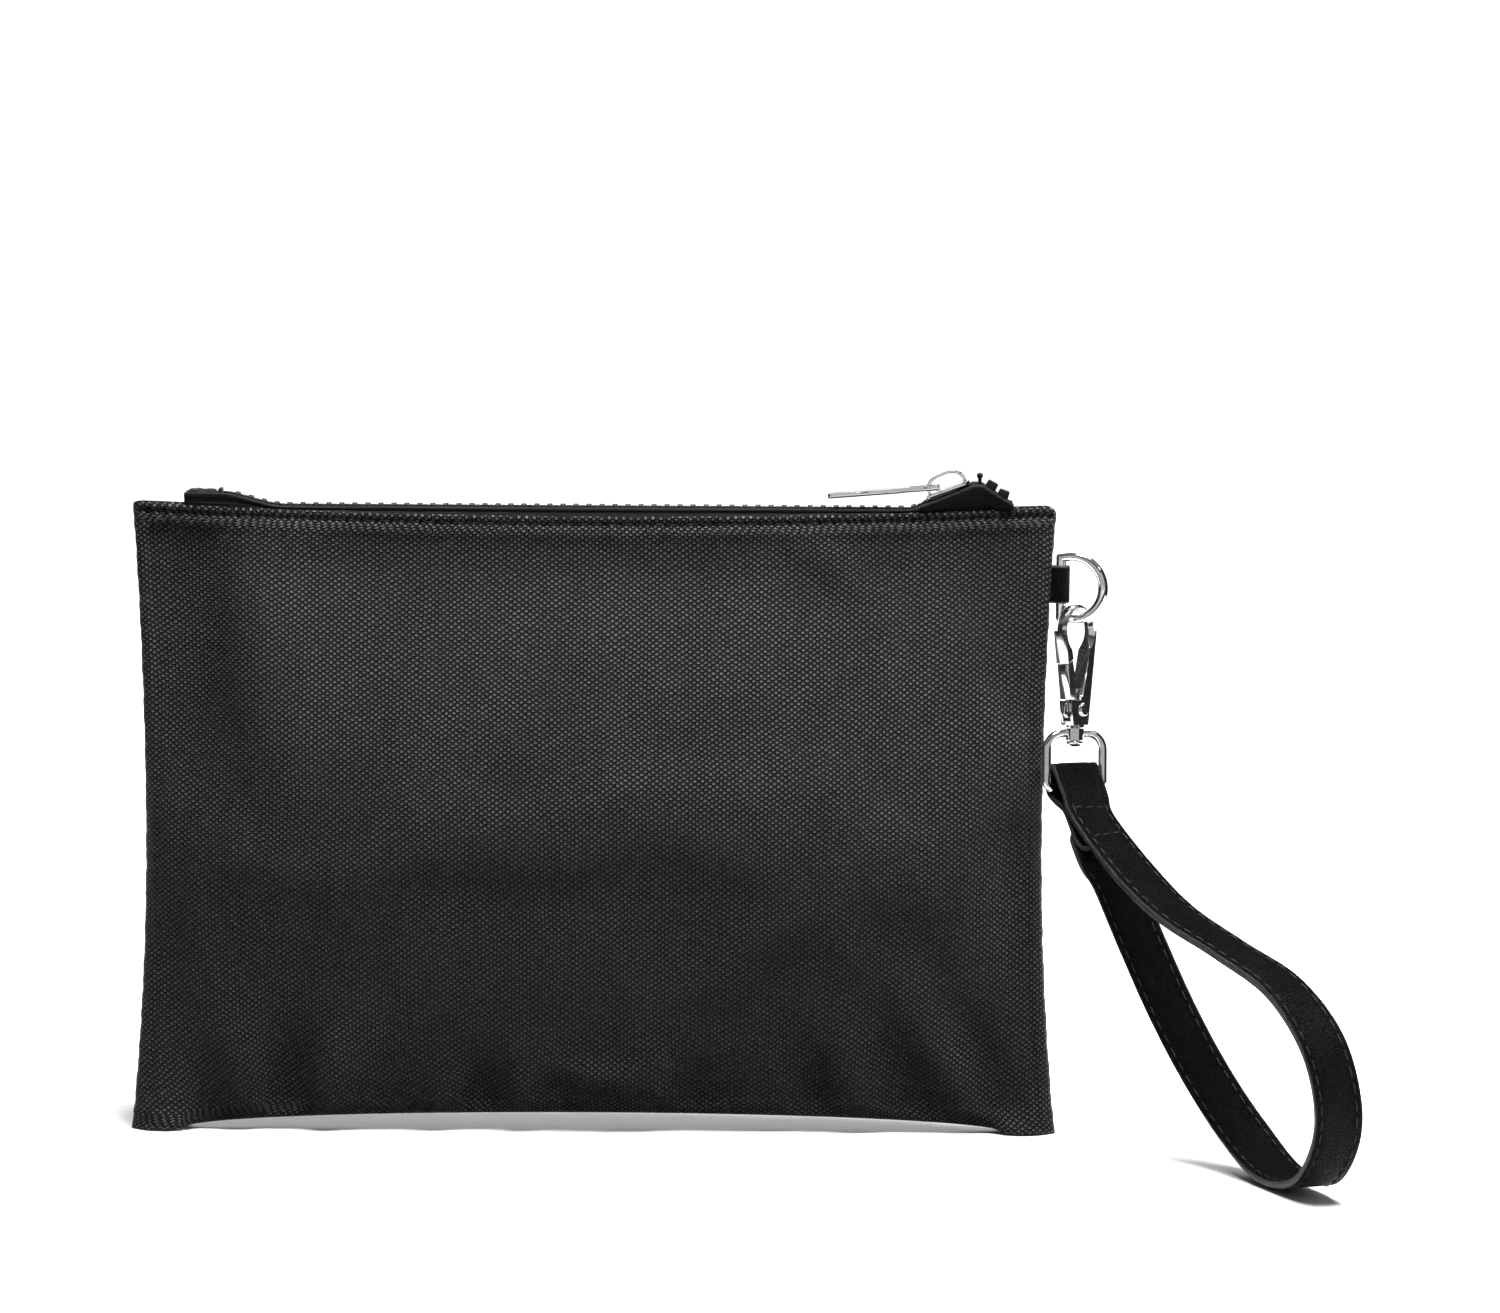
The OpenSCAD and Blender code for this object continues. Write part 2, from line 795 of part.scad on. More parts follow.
// The spindle that the eye turns on: a shank riveted in the hook's foot, with a domed head below
module swivel_post() {
    head_top = boss_top - boss_h - 0.15;
    color(chrome_colour)
        at_hang() {
            translate([0, 0, head_top])
                cylinder(r = post_r, h = post_seat - head_top);
            translate([0, 0, head_top - post_head_h / 2])
                cylinder(r = post_head_r, h = post_head_h / 2);
            translate([0, 0, head_top - post_head_h])
                cylinder(r1 = post_head_r * 0.6, r2 = post_head_r, h = post_head_h / 2);
        }
}

module swivel_eye() {
    shoulder_x = eye_half - eye_shoulder;
    color(chrome_colour)
        at_hang()
            rotate([0, 0, eye_turn])
                difference() {
                    union() {
                        translate([0, 0, boss_top - boss_h])
                            cylinder(r = boss_r, h = boss_h);
                        for (side = [-1, 1])
                            mirror([side < 0 ? 1 : 0, 0, 0]) {
                                cyl_between([1.5, 0, eye_arm_z], [shoulder_x, 0, eye_arm_z], eye_wire);
                                translate([shoulder_x, 0, eye_arm_z - eye_shoulder])
                                    rotate([90, 0, 0])
                                        torus_arc(eye_shoulder, eye_wire, 0, 90);
                                cyl_between(
                                    [eye_half, 0, eye_bar_z + eye_corner],
                                    [eye_half, 0, eye_arm_z - eye_shoulder], eye_wire
                                );
                                translate([eye_half - eye_corner, 0, eye_bar_z + eye_corner])
                                    rotate([90, 0, 0])
                                        torus_arc(eye_corner, eye_wire, -90, 0);
                            }
                        cyl_between(
                            [eye_corner - eye_half, 0, eye_bar_z],
                            [eye_half - eye_corner, 0, eye_bar_z], eye_wire
                        );
                    }
                    translate([0, 0, boss_top - boss_h - 1])
                        cylinder(r = post_r + fit, h = boss_h + 2);
                }
}

// ---------- wrist strap ----------

// Middle of the fold that holds the eye's bar, a little behind and above the bar
eye_bar_at = hang_at + turn_x([0, 0, eye_bar_z], -hook_lean);
fold_at = eye_bar_at + turn_z([0, 1.1, 1.2], eye_turn);
fold_r = 4.4;
fold_slope = 37;

// A point near the fold, s along the strap's run from the bar and n above the fold's middle
function fold_point(s, n) =
    fold_at + turn_z([
        0,
        -s * cos(fold_slope) - n * sin(fold_slope),
        -s * sin(fold_slope) + n * cos(fold_slope)
    ], eye_turn);

function fold_arc(a) = fold_point(-fold_r * cos(a), fold_r * sin(a));

front_n = 4.5;
layer_step = 2 * layer_t + layer_gap;

// The strap's run as offsets from the fold, out to the hand's end, along the surface and back
loop_offsets = [
    [14, -32.5, -18.5], [24.4, -46.5, -27.5], [37.4, -59.5, -34.5], [50.9, -72, -42.5],
    [60.4, -82, -56.5], [63.9, -84, -75.5], [59.9, -74.5, -91.5], [52.4, -57.5, -94.7],
    [43.9, -41.5, -87], [34.4, -30.5, -73.5], [25.4, -25, -57], [17.4, -21.5, -39.5],
    [10, -20.5, -22.5]
];
loop_widths = [
    [0.87, 0.5, 0.11], [0.78, 0.62, 0.11], [0.71, 0.69, 0.09], [0.76, 0.61, 0.17],
    [0.93, 0.35, 0.21], [1, 0.2, 0], [0.93, 0.33, -0.07], [0.93, 0.34, 0.15],
    [0.9, 0.14, 0.5], [0.87, 0.02, 0.53], [0.89, -0.04, 0.46], [0.89, -0.05, 0.4],
    [0.93, 0.1, 0.25]
];
fold_width = turn_z([1, 0, 0], eye_turn);

tail_points = [
    fold_point(27, front_n - layer_step), fold_point(18, front_n - layer_step),
    fold_point(11.5, front_n - 1.3 * layer_step), fold_point(5.5, -1.5), fold_arc(-80),
    fold_arc(-35), fold_arc(10), fold_arc(55), fold_arc(88)
];
front_points = [fold_point(9, front_n), fold_point(18, front_n)];
end_points = [fold_point(27, front_n - 2 * layer_step), fold_point(19, front_n - 2 * layer_step)];

strap_points = concat(
    tail_points, front_points, [for (p = loop_offsets) fold_at + p], end_points
);
strap_widths = concat(
    [for (p = tail_points) fold_width],
    [fold_width, unit([0.93, 0.38, -0.03])],
    loop_widths,
    [for (p = end_points) fold_width]
);
span_steps = 5;
strap_path = smooth(strap_points, span_steps);
strap_across = smooth(strap_widths, span_steps);
strap_last = len(strap_path) - 1;

function strap_along(i) = unit(strap_path[min(i + 1, strap_last)] - strap_path[max(i - 1, 0)]);

// The strap's width direction at a station, square to its run
function strap_side(i) =
    let (t = strap_along(i), w = strap_across[i])
    unit(w - t * (t * w));

// A point on the strap: a across its width from the middle, n out from its middle surface
function strap_point(i, a, n) =
    strap_path[i] + strap_side(i) * a + cross(strap_along(i), strap_side(i)) * n;

module strap_layer(low, high) {
    a = strap_w / 2;
    skin([
        for (i = [0:strap_last])
            [
                strap_point(i, -a, low), strap_point(i, a, low),
                strap_point(i, a, high), strap_point(i, -a, high)
            ]
    ]);
}

module strap_outer() { color(leather_colour) strap_layer(0, layer_t); }
module strap_lining() { color(leather_colour) strap_layer(-layer_t, 0); }

thread_r = 0.2;
thread_inset = 1.7;
thread_first = (len(tail_points) + 1) * span_steps;

// Two rows of stitching that stand on the outer layer, from the join round to the strap's end
module strap_thread() {
    color(thread_colour)
        for (side = [-1, 1])
            skin([
                for (i = [thread_first:strap_last])
                    [
                        for (k = [0:5])
                            strap_point(
                                i,
                                side * (strap_w / 2 - thread_inset) + thread_r * cos(60 * k),
                                layer_t + 1.6 * thread_r + thread_r * sin(60 * k)
                            )
                    ]
            ]);
}

front_panel();
back_panel();
front_lining();
back_lining();
zip_tape_front();
zip_tape_back();
zip_teeth_front();
zip_teeth_back();
zip_end_tab();
zip_bottom_stop();
zip_top_stops();
hem_thread_front();
hem_thread_back();
ring_tab();
slider_body();
slider_bridge();
zip_puller();
d_ring();
hook_body();
hook_gate();
gate_rivet();
gate_spring();
swivel_post();
swivel_eye();
strap_outer();
strap_lining();
strap_thread();
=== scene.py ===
import math
import random

import bmesh
import bpy
import numpy as np
from mathutils import Matrix, Vector


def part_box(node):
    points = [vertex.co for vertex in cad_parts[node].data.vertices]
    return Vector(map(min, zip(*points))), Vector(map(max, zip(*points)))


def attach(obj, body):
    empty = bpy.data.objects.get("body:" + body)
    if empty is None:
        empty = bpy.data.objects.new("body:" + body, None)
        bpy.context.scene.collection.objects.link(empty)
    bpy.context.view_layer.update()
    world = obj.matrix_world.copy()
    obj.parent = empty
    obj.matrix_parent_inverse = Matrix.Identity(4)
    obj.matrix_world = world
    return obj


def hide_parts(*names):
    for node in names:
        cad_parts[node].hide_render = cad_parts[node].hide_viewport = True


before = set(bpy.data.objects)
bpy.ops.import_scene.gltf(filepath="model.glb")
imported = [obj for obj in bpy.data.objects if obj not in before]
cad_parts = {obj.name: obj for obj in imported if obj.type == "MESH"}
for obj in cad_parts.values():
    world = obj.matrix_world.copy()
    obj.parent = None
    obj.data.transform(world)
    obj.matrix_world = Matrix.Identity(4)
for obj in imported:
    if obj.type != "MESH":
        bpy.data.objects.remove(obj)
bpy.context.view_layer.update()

MM = 0.001
PI = math.pi
random.seed(7)


# ---------- helpers ----------

def lerp(a, b, t):
    return a + (b - a) * t


def ease(t):
    t = np.clip(t, 0, 1)
    return t * t * (3 - 2 * t)


def unit(v):
    v = np.asarray(v, float)
    return v / np.maximum(np.linalg.norm(v, axis=-1, keepdims=True), 1e-12)


def lump(x, middle, width):
    return np.exp(-((x - middle) / width) ** 2)


def sized(node):
    """A CAD node's lowest and highest corners, in millimetres."""
    low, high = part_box(node)
    return np.array(low) / MM, np.array(high) / MM


def mesh_from(name, points, faces):
    mesh = bpy.data.meshes.new(name)
    mesh.from_pydata(np.asarray(points, float).tolist(), [], [list(f) for f in faces])
    return mesh


def placed(name, data):
    """A new object in the scene."""
    thing = bpy.data.objects.new(name, data)
    bpy.context.scene.collection.objects.link(thing)
    return thing


def make(name, points, faces, material, body, replaces=(), cloth=None, sharp=None):
    """One visible piece from points in millimetres. cloth holds each point's place on the flat material."""
    mesh = mesh_from(name, np.asarray(points, float) * MM, faces)
    if cloth is not None:
        layer = mesh.attributes.new("cloth", "FLOAT_VECTOR", "POINT")
        layer.data.foreach_set("vector", np.asarray(cloth, np.float32).ravel())
    return dress(placed(name, mesh), material, body, replaces, sharp)


def dress(piece, material, body, replaces=(), sharp=None):
    """Sets a piece's finish, parents it to the body it rides on and hides the CAD parts it stands for."""
    piece.data.materials.clear()
    piece.data.materials.append(material)
    piece.data.shade_smooth()
    if sharp:
        piece.data.set_sharp_from_angle(angle=math.radians(sharp))
    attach(piece, body)
    if replaces:
        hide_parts(*replaces)
    return piece


def grid_faces(n, m, wrap=False, start=0, flip=False):
    """Faces of an n by m grid of points, whose second direction may close on itself."""
    out = []
    for i in range(n - 1):
        for j in range(m if wrap else m - 1):
            a, b = start + i * m + j, start + i * m + (j + 1) % m
            quad = (a, b, b + m, a + m)
            out.append(quad[::-1] if flip else quad)
    return out


def skin(rings, flip=False):
    """Points and faces of a row of closed rings, with both ends filled by their middles."""
    rings = np.asarray(rings, float)
    n, m = rings.shape[:2]
    points = np.concatenate([rings.reshape(-1, 3), [rings[0].mean(0), rings[-1].mean(0)]])
    faces = grid_faces(n, m, wrap=True)
    last = (n - 1) * m
    for j in range(m):
        k = (j + 1) % m
        faces += [(j, n * m, k), (last + k, n * m + 1, last + j)]
    return points, ([f[::-1] for f in faces] if flip else faces)


class Batch:
    """Collects many small closed forms into one piece."""

    def __init__(self):
        self.points, self.faces, self.cloth, self.count = [], [], [], 0

    def add(self, points, faces, cloth=None):
        points = np.asarray(points, float)
        self.faces += [[i + self.count for i in f] for f in faces]
        self.points.append(points)
        self.cloth.append(points if cloth is None else np.asarray(cloth, float))
        self.count += len(points)

    def piece(self, name, material, body, slot, replaces=(), sharp=None):
        return make(
            name, np.concatenate(self.points), self.faces, material, body, replaces,
            np.concatenate(self.cloth), sharp,
        )


def tapered_tube(path, radius, sides):
    """A tube along a path, as points and faces, drawn in towards both ends."""
    along = unit(np.gradient(path, axis=0))
    side = np.cross(along, [0.0, 0.0, 1.0])
    steep = np.linalg.norm(side, axis=1) < 0.2
    side[steep] = np.cross(along[steep], [0.0, 1.0, 0.0])
    side = unit(side)
    up = np.cross(side, along)
    share = np.linspace(-1, 1, len(path))
    radii = radius * np.sqrt(np.clip(1 - share ** 4, 0.02, 1))
    turn = 2 * PI * np.arange(sides)[:, None] / sides
    frames = zip(path, side, up, radii)
    return skin([p + r * (np.cos(turn) * s + np.sin(turn) * w) for p, s, w, r in frames])


def curve(corners, tangents, at):
    """A smooth line through corner points. at counts the corners from 0, and may fall between them."""
    i = np.clip(at.astype(int), 0, len(corners) - 2)
    f = (at - i)[:, None]
    line = lerp(corners[i], corners[i + 1], f * f * (3 - 2 * f))
    return line + f * (1 - f) ** 2 * tangents[i] - f * f * (1 - f) * tangents[i + 1]


# ---------- materials ----------

class Finish:
    """A procedural material under construction."""

    def __init__(self, name, **settings):
        self.material = bpy.data.materials.new(name)
        self.material.use_nodes = True
        self.tree = self.material.node_tree
        self.tree.nodes.clear()
        self.shader = self.tree.nodes.new("ShaderNodeBsdfPrincipled")
        out = self.tree.nodes.new("ShaderNodeOutputMaterial")
        self.tree.links.new(self.shader.outputs[0], out.inputs[0])
        for key, value in settings.items():
            self.shader.inputs[key.replace("_", " ")].default_value = value

    def put(self, socket, value):
        """Links a socket or sets its value. None leaves it alone."""
        if isinstance(value, bpy.types.NodeSocket):
            self.tree.links.new(value, socket)
        elif value is not None:
            socket.default_value = value

    def node(self, kind, values=(), out=0, **options):
        made = self.tree.nodes.new("ShaderNode" + kind)
        for key, value in options.items():
            setattr(made, key, value)
        for key, value in (values.items() if isinstance(values, dict) else enumerate(values)):
            self.put(made.inputs[key], value)
        return made.outputs[out]

    def math(self, operation, *values):
        return self.node("Math", values, operation=operation)

    def times(self, a, b):
        return self.math("MULTIPLY", a, b)

    def plus(self, a, b):
        return self.math("ADD", a, b)

    def vector(self, operation, first, second):
        return self.node("VectorMath", (first, second), operation=operation)

    def scaled(self, vector, amount):
        return self.node("VectorMath", {0: vector, 3: amount}, operation="SCALE")

    def split(self, vector):
        """The first two parts of a vector."""
        parts = self.tree.nodes.new("ShaderNodeSeparateXYZ")
        self.put(parts.inputs[0], vector)
        return parts.outputs[0], parts.outputs[1]

    def cloth(self, scale=(1, 1, 1)):
        """The point's place on the flat material, in millimetres times scale."""
        return self.vector("MULTIPLY", self.node("Attribute", attribute_name="cloth", out=1), scale)

    def object(self, scale):
        """The point's place on the object, in metres times scale."""
        return self.scaled(self.node("TexCoord", out=3), scale)

    def noise(self, vector, scale, detail=2.0, roughness=0.5):
        values = {"Vector": vector, "Scale": scale, "Detail": detail, "Roughness": roughness}
        return self.node("TexNoise", values)

    def remap(self, value, low, high, to_low, to_high, smooth=False):
        kind = "SMOOTHSTEP" if smooth else "LINEAR"
        values = (value, low, high, to_low, to_high)
        return self.node("MapRange", values, interpolation_type=kind)

    def colours(self, share, dark, light):
        values = {0: share, 6: (*dark, 1), 7: (*light, 1)}
        return self.node("Mix", values, data_type="RGBA", out=2)

    def bump(self, height, distance_mm, strength=1.0, normal=None):
        values = {"Strength": strength, "Distance": distance_mm * MM, "Height": height, "Normal": normal}
        return self.node("Bump", values)

    def done(self, colour=None, roughness=None, normal=None):
        self.put(self.shader.inputs["Base Color"], colour)
        self.put(self.shader.inputs["Roughness"], roughness)
        self.put(self.shader.inputs["Normal"], normal)
        return self.material


# The weave's rows are this far apart. Its columns are 1 mm apart
WEAVE_ROW = 0.75


def woven_finish():
    """Coarse ballistic weave: wide weft floats stand over narrow warp floats, with painted highlights on
    the weft floats and painted shade on the warp floats and in the gaps between them.
    """
    f = Finish("woven_cloth", Specular_IOR_Level=0.07)
    place = f.cloth()
    drift = f.node("TexNoise", {"Vector": place, "Scale": 0.11, "Detail": 1.0}, out=1)
    wobble = f.node("TexNoise", {"Vector": place, "Scale": 0.9, "Detail": 1.0}, out=1)
    for reach, part in ((1.1, drift), (0.16, wobble)):
        shift = f.scaled(f.vector("SUBTRACT", part, (0.5, 0.5, 0.5)), reach)
        place = f.vector("ADD", place, shift)
    x, y = f.split(f.vector("MULTIPLY", place, (1.0, 1 / WEAVE_ROW, 1.0)))
    wave = f.times(f.math("COSINE", f.times(x, PI)), f.math("COSINE", f.times(y, PI)))
    weft = f.remap(wave, -0.05, 0.5, 0, 1, smooth=True)
    warp = f.remap(wave, -0.25, -0.9, 0, 1, smooth=True)
    float_id = f.node("CombineXYZ", (f.math("ROUND", x), f.math("ROUND", y)))
    chance = f.node("TexWhiteNoise", {"Vector": float_id}, noise_dimensions="3D")
    strands = f.noise(f.vector("MULTIPLY", place, (0.7, 7.0, 1.0)), 1.6)
    patches = f.noise(f.cloth((0.03, 0.03, 0.03)), 1.0, 3.0)
    height = f.plus(weft, f.times(warp, 0.45))
    height = f.plus(height, f.times(strands, 0.16))
    height = f.times(height, f.remap(chance, 0, 1, 0.88, 1.08))
    # Painted highlight and shade: the weft floats are coloured bright as painted sheen where they catch the
    # light, the warp floats darker as painted shade because their sheen faces away, and the gaps near black
    # as painted shade between the floats. The chance, strands and patches vary the tone at random.
    light = f.times(weft, f.remap(chance, 0, 1, 0.66, 1.0))
    light = f.plus(light, f.times(warp, 0.12))
    light = f.times(light, f.remap(strands, 0.3, 0.75, 0.78, 1.08))
    light = f.times(light, f.remap(patches, 0.3, 0.7, 0.8, 1.1))
    # The dark colour is the painted shade in the gaps, the light colour the painted highlight on the weft
    # floats.
    colour = f.colours(light, (0.0004, 0.0004, 0.0005), (0.135, 0.135, 0.1375))
    rough = f.remap(chance, 0, 1, 0.38, 0.56)
    return f.done(colour, rough, f.bump(height, 0.65, 1.0))


def lining_finish():
    """Fine plain taffeta."""
    f = Finish("lining_taffeta", Specular_IOR_Level=0.5, Sheen_Weight=0.2)
    x, y = f.split(f.cloth())
    warp_mm, weft_mm = 0.5, 0.42
    warp = f.math("SINE", f.times(x, 2 * PI / warp_mm))
    weft = f.math("SINE", f.times(y, 2 * PI / weft_mm))
    weave = f.times(warp, weft)
    creases = f.noise(f.cloth((0.05, 0.09, 0.05)), 1.0, 3.0)
    colour = f.colours(f.remap(weave, -1, 1, 0.2, 1), (0.006, 0.006, 0.007), (0.02, 0.02, 0.023))
    rough = f.remap(creases, 0.3, 0.7, 0.4, 0.6)
    return f.done(colour, rough, f.bump(weave, 0.05, 0.6, f.bump(creases, 0.6, 0.4)))


def tape_finish():
    """Knitted zip tape: fine chevron ribs along the zip."""
    f = Finish("zip_tape_knit", Specular_IOR_Level=0.08)
    x, y = f.split(f.cloth())
    rib_mm, loop_mm = 0.45, 0.55
    rib = f.math("PINGPONG", y, rib_mm)
    lean = f.plus(x, f.times(rib, 0.9))
    loops = f.math("ABSOLUTE", f.math("SINE", f.times(lean, PI / loop_mm)))
    height = f.times(loops, f.remap(rib, 0, 0.3, 0.2, 1, smooth=True))
    fuzz = f.noise(f.cloth(), 3.0, 3.0)
    tone = f.times(height, f.remap(fuzz, 0.3, 0.7, 0.6, 1))
    colour = f.colours(tone, (0.001, 0.001, 0.001), (0.022, 0.022, 0.0225))
    return f.done(colour, f.remap(fuzz, 0.2, 0.8, 0.55, 0.8), f.bump(height, 0.12, 0.8))


def thread_finish():
    """Bonded sewing thread with its twist."""
    f = Finish("thread_twist", Specular_IOR_Level=0.25)
    x, y = f.split(f.cloth())
    twist_mm = 0.8
    ply = f.math("ABSOLUTE", f.math("SINE", f.plus(f.times(x, 2 * PI / twist_mm), y)))
    colour = f.colours(ply, (0.001, 0.001, 0.001), (0.026, 0.026, 0.0265))
    return f.done(colour, f.remap(ply, 0, 1, 0.55, 0.4), f.bump(ply, 0.08, 0.8))


def leather_finish(name, dark, light, grain_mm, grain_depth, rough, specular):
    """Coated leather: a pebbled grain with finer wrinkles between."""
    f = Finish(name, Specular_IOR_Level=specular)
    place = f.cloth()
    bend = f.node("TexNoise", {"Vector": place, "Scale": 1.1, "Detail": 2.0}, out=1)
    place = f.vector("ADD", place, f.scaled(bend, 0.7))
    pebbles = f.node("TexVoronoi", {"Vector": place, "Scale": 1 / grain_mm}, feature="DISTANCE_TO_EDGE")
    pebble = f.remap(pebbles, 0.0, 0.32, 0, 1, smooth=True)
    fine = f.noise(place, 3.2, 4.0, 0.6)
    wear = f.noise(f.cloth((0.12, 0.05, 0.1)), 1.0, 4.0)
    height = f.plus(pebble, f.times(fine, 0.55))
    tone = f.times(f.remap(wear, 0.3, 0.7, 0.25, 1.0), f.remap(pebble, 0, 1, 0.35, 1.0))
    colour = f.colours(tone, dark, light)
    mattness = f.remap(f.plus(wear, f.times(fine, 0.5)), 0.4, 1.0, rough, rough + 0.2)
    return f.done(colour, mattness, f.bump(height, grain_depth, 1.0))


def plastic_finish():
    """Moulded acetal: satin, with a slight flow texture."""
    f = Finish("moulded_plastic", Specular_IOR_Level=0.22)
    place = f.object(900.0)
    flow = f.noise(place, 1.0, 3.0)
    speck = f.noise(place, 6.0, 2.0)
    colour = f.colours(f.remap(flow, 0.3, 0.7, 0, 1), (0.002, 0.002, 0.0022), (0.008, 0.008, 0.0085))
    return f.done(colour, f.remap(flow, 0.3, 0.7, 0.28, 0.45), f.bump(speck, 0.03, 0.5))


def chrome_finish(name, tint, rough_low, rough_high):
    """Plated casting: bright, with faint polishing marks and handling haze."""
    f = Finish(name, Metallic=1.0)
    haze = f.noise(f.object(130.0), 1.0, 4.0, 0.6)
    marks = f.node("Mapping", {"Vector": f.object(1.0), "Scale": (900.0, 900.0, 9000.0)})
    marks = f.noise(marks, 1.0, 2.0)
    colour = f.colours(f.remap(haze, 0.3, 0.7, 0, 1), [c * 0.93 for c in tint], tint)
    rough = f.remap(f.plus(haze, f.times(marks, 0.4)), 0.4, 0.95, rough_low, rough_high)
    return f.done(colour, rough, f.bump(marks, 0.004, 0.25, f.bump(haze, 0.05, 0.12)))


woven = woven_finish()
taffeta = lining_finish()
knit = tape_finish()
thread = thread_finish()
leather = leather_finish(
    "leather_grain", (0.0003, 0.0003, 0.0003), (0.002, 0.002, 0.0021),
    grain_mm=0.85, grain_depth=0.6, rough=0.25, specular=0.07,
)
inner_leather = leather_finish(
    "leather_inner", (0.0003, 0.0003, 0.0003), (0.0018, 0.0018, 0.0019),
    grain_mm=0.75, grain_depth=0.5, rough=0.3, specular=0.06,
)
edge_paint = leather_finish(
    "leather_edge", (0.02, 0.02, 0.0205), (0.05, 0.05, 0.051),
    grain_mm=1.6, grain_depth=0.05, rough=0.3, specular=0.3,
)
plastic = plastic_finish()
chrome = chrome_finish("chrome_plate", (0.78, 0.785, 0.795), 0.08, 0.15)
spring_steel = chrome_finish("spring_wire", (0.5, 0.5, 0.51), 0.2, 0.34)


# ---------- pouch form ----------

# These sizes and forms are part.scad's, but for HEM_RISE: the hem's fullness starts lower here
HALF_W, POUCH_H, WAIST, TOP = 126.0, 171.5, 121.5, 124.2
BULGE, ARCH, HEM_DIP, HEM_HALF, FOOT_HALF = 16.5, 5.0, 3.2, 5.5, 4.0
CLOTH_T, LINING_T, LINING_GAP, TAPE_T = 1.2, 0.5, 0.4, 0.6
FOOT_X = HALF_W - 14
FOOT_U, FOOT_WIDE, FOOT_FALL = 0.93, 0.07, 10
SIDE_SQUARE, SIDE_ROUND, LOW_ROUND, HIGH_ROUND, HEM_RISE = 3.2, 0.6, 0.65, 1.5, 2.5


def side_w(z):
    t = z / (POUCH_H / 2)
    low = WAIST + (HALF_W - WAIST) * (1 - t) ** 2
    return np.where(t < 1, low, WAIST + (TOP - WAIST) * (t - 1) ** 2)


def bottom_z(x):
    return ARCH * np.sqrt(np.maximum(0, 1 - (x / FOOT_X) ** 2))


def hem_z(x):
    return POUCH_H - HEM_DIP * (1 - (x / HALF_W) ** 2)


def across(u):
    return np.maximum(0, 1 - np.abs(u) ** SIDE_SQUARE) ** SIDE_ROUND


def half_t(u, v):
    """Half the pouch's thickness at shares of its half width and height."""
    low = np.sin(PI * np.clip(v, 0, 0.5)) ** LOW_ROUND
    high = np.maximum(0, np.cos(PI * (np.clip(v, 0.5, 1) - 0.5))) ** HIGH_ROUND
    foot = (1 - v) ** FOOT_FALL * np.maximum(0, 1 - ((np.abs(u) - FOOT_U) / FOOT_WIDE) ** 2)
    return (
        CLOTH_T
        + (BULGE - CLOTH_T) * across(u) * np.where(v < 0.5, low, high)
        + (HEM_HALF - CLOTH_T) * v ** HEM_RISE * np.sqrt(across(u))
        + FOOT_HALF * foot
    )


def body_x(u, v):
    return u * side_w(v * POUCH_H)


def body_z(u, v):
    x = body_x(u, v)
    return lerp(bottom_z(x), hem_z(x), v)


def edge_grid(columns, rows):
    """Shares of width and height that crowd towards the pouch's edges."""
    u = np.sin(PI / 2 * (2 * np.arange(columns + 1) / columns - 1))
    v = (1 - np.cos(PI * np.arange(rows + 1) / rows)) / 2
    return np.meshgrid(u, v, indexing="ij")


def flat_lengths(grid):
    """Each grid point's place on the flat cloth, from the lengths along its row and column."""
    n, m = grid.shape[:2]
    flat = np.zeros((n, m, 3))
    flat[1:, :, 0] = np.cumsum(np.linalg.norm(np.diff(grid, axis=0), axis=2), axis=0)
    flat[:, 1:, 1] = np.cumsum(np.linalg.norm(np.diff(grid, axis=1), axis=2), axis=1)
    flat[..., 0] -= flat[n // 2, :, 0].copy()
    flat[..., 1] -= flat[:, -1:, 1].copy()
    return flat


def cut_size(flat):
    """The width and length of the flat cloth through its middle, in metres."""
    n, m = flat.shape[:2]
    return float(np.ptp(flat[:, m // 2, 0])) * MM, float(np.ptp(flat[n // 2, :, 1])) * MM


# ---------- the two woven panels ----------

# Folds pressed into the cloth: place across and up, widths, slant, depth (mm, before FOLD_DEPTH)
FOLD_DEPTH, FOLD_ROOM = 2.3, 0.6
FRONT_FOLDS = [
    (-84, 8, 5.5, 17, 0.15, -1.9), (-72, 10, 7, 18, 0.2, 1.2), (-96, 14, 8, 22, -0.25, 0.9),
    (-30, 6, 6, 12, 0.1, -1.7), (-20, 8, 6, 13, 0.1, 0.9), (-41, 8, 7, 13, -0.1, 0.8),
    (28, 7, 7, 12, -0.1, -0.7), (60, 9, 6, 17, -0.25, -1.1), (71, 10, 6, 18, -0.3, 0.7),
    (86, 11, 6, 20, -0.4, -1.1), (98, 14, 6, 22, -0.5, 0.7), (107, 20, 5, 22, -0.5, -0.9),
    (-108, 128, 10, 40, -0.08, -2.3), (-88, 126, 15, 34, -0.1, 1.3), (104, 130, 9, 28, 0.12, -0.8),
    (-112, 60, 4, 26, 0.05, -0.5), (113, 70, 4, 30, -0.05, -0.6), (20, 150, 40, 9, 0.0, -0.3),
]
BACK_FOLDS = [
    (-101, 10, 6, 18, 0.4, -1.1), (-88, 12, 6, 16, 0.3, 0.7), (-50, 7, 7, 12, 0.15, -0.9),
    (-8, 6, 8, 11, 0.0, -0.8), (36, 8, 6, 13, -0.1, -1.1), (47, 9, 6, 13, -0.15, 0.7),
    (90, 12, 7, 19, -0.4, -1.2), (103, 15, 6, 21, -0.4, 0.7), (98, 126, 9, 26, 0.15, -1.2),
    (-100, 124, 8, 26, -0.15, -1.1), (-60, 148, 30, 8, 0.0, -0.3),
]


# The cloth simulation's unit is 100 mm, and no point moves further than SETTLED_MOST
SIM_SCALE, SIM_FRAMES, SETTLED_MOST = 0.01, 14, 0.9


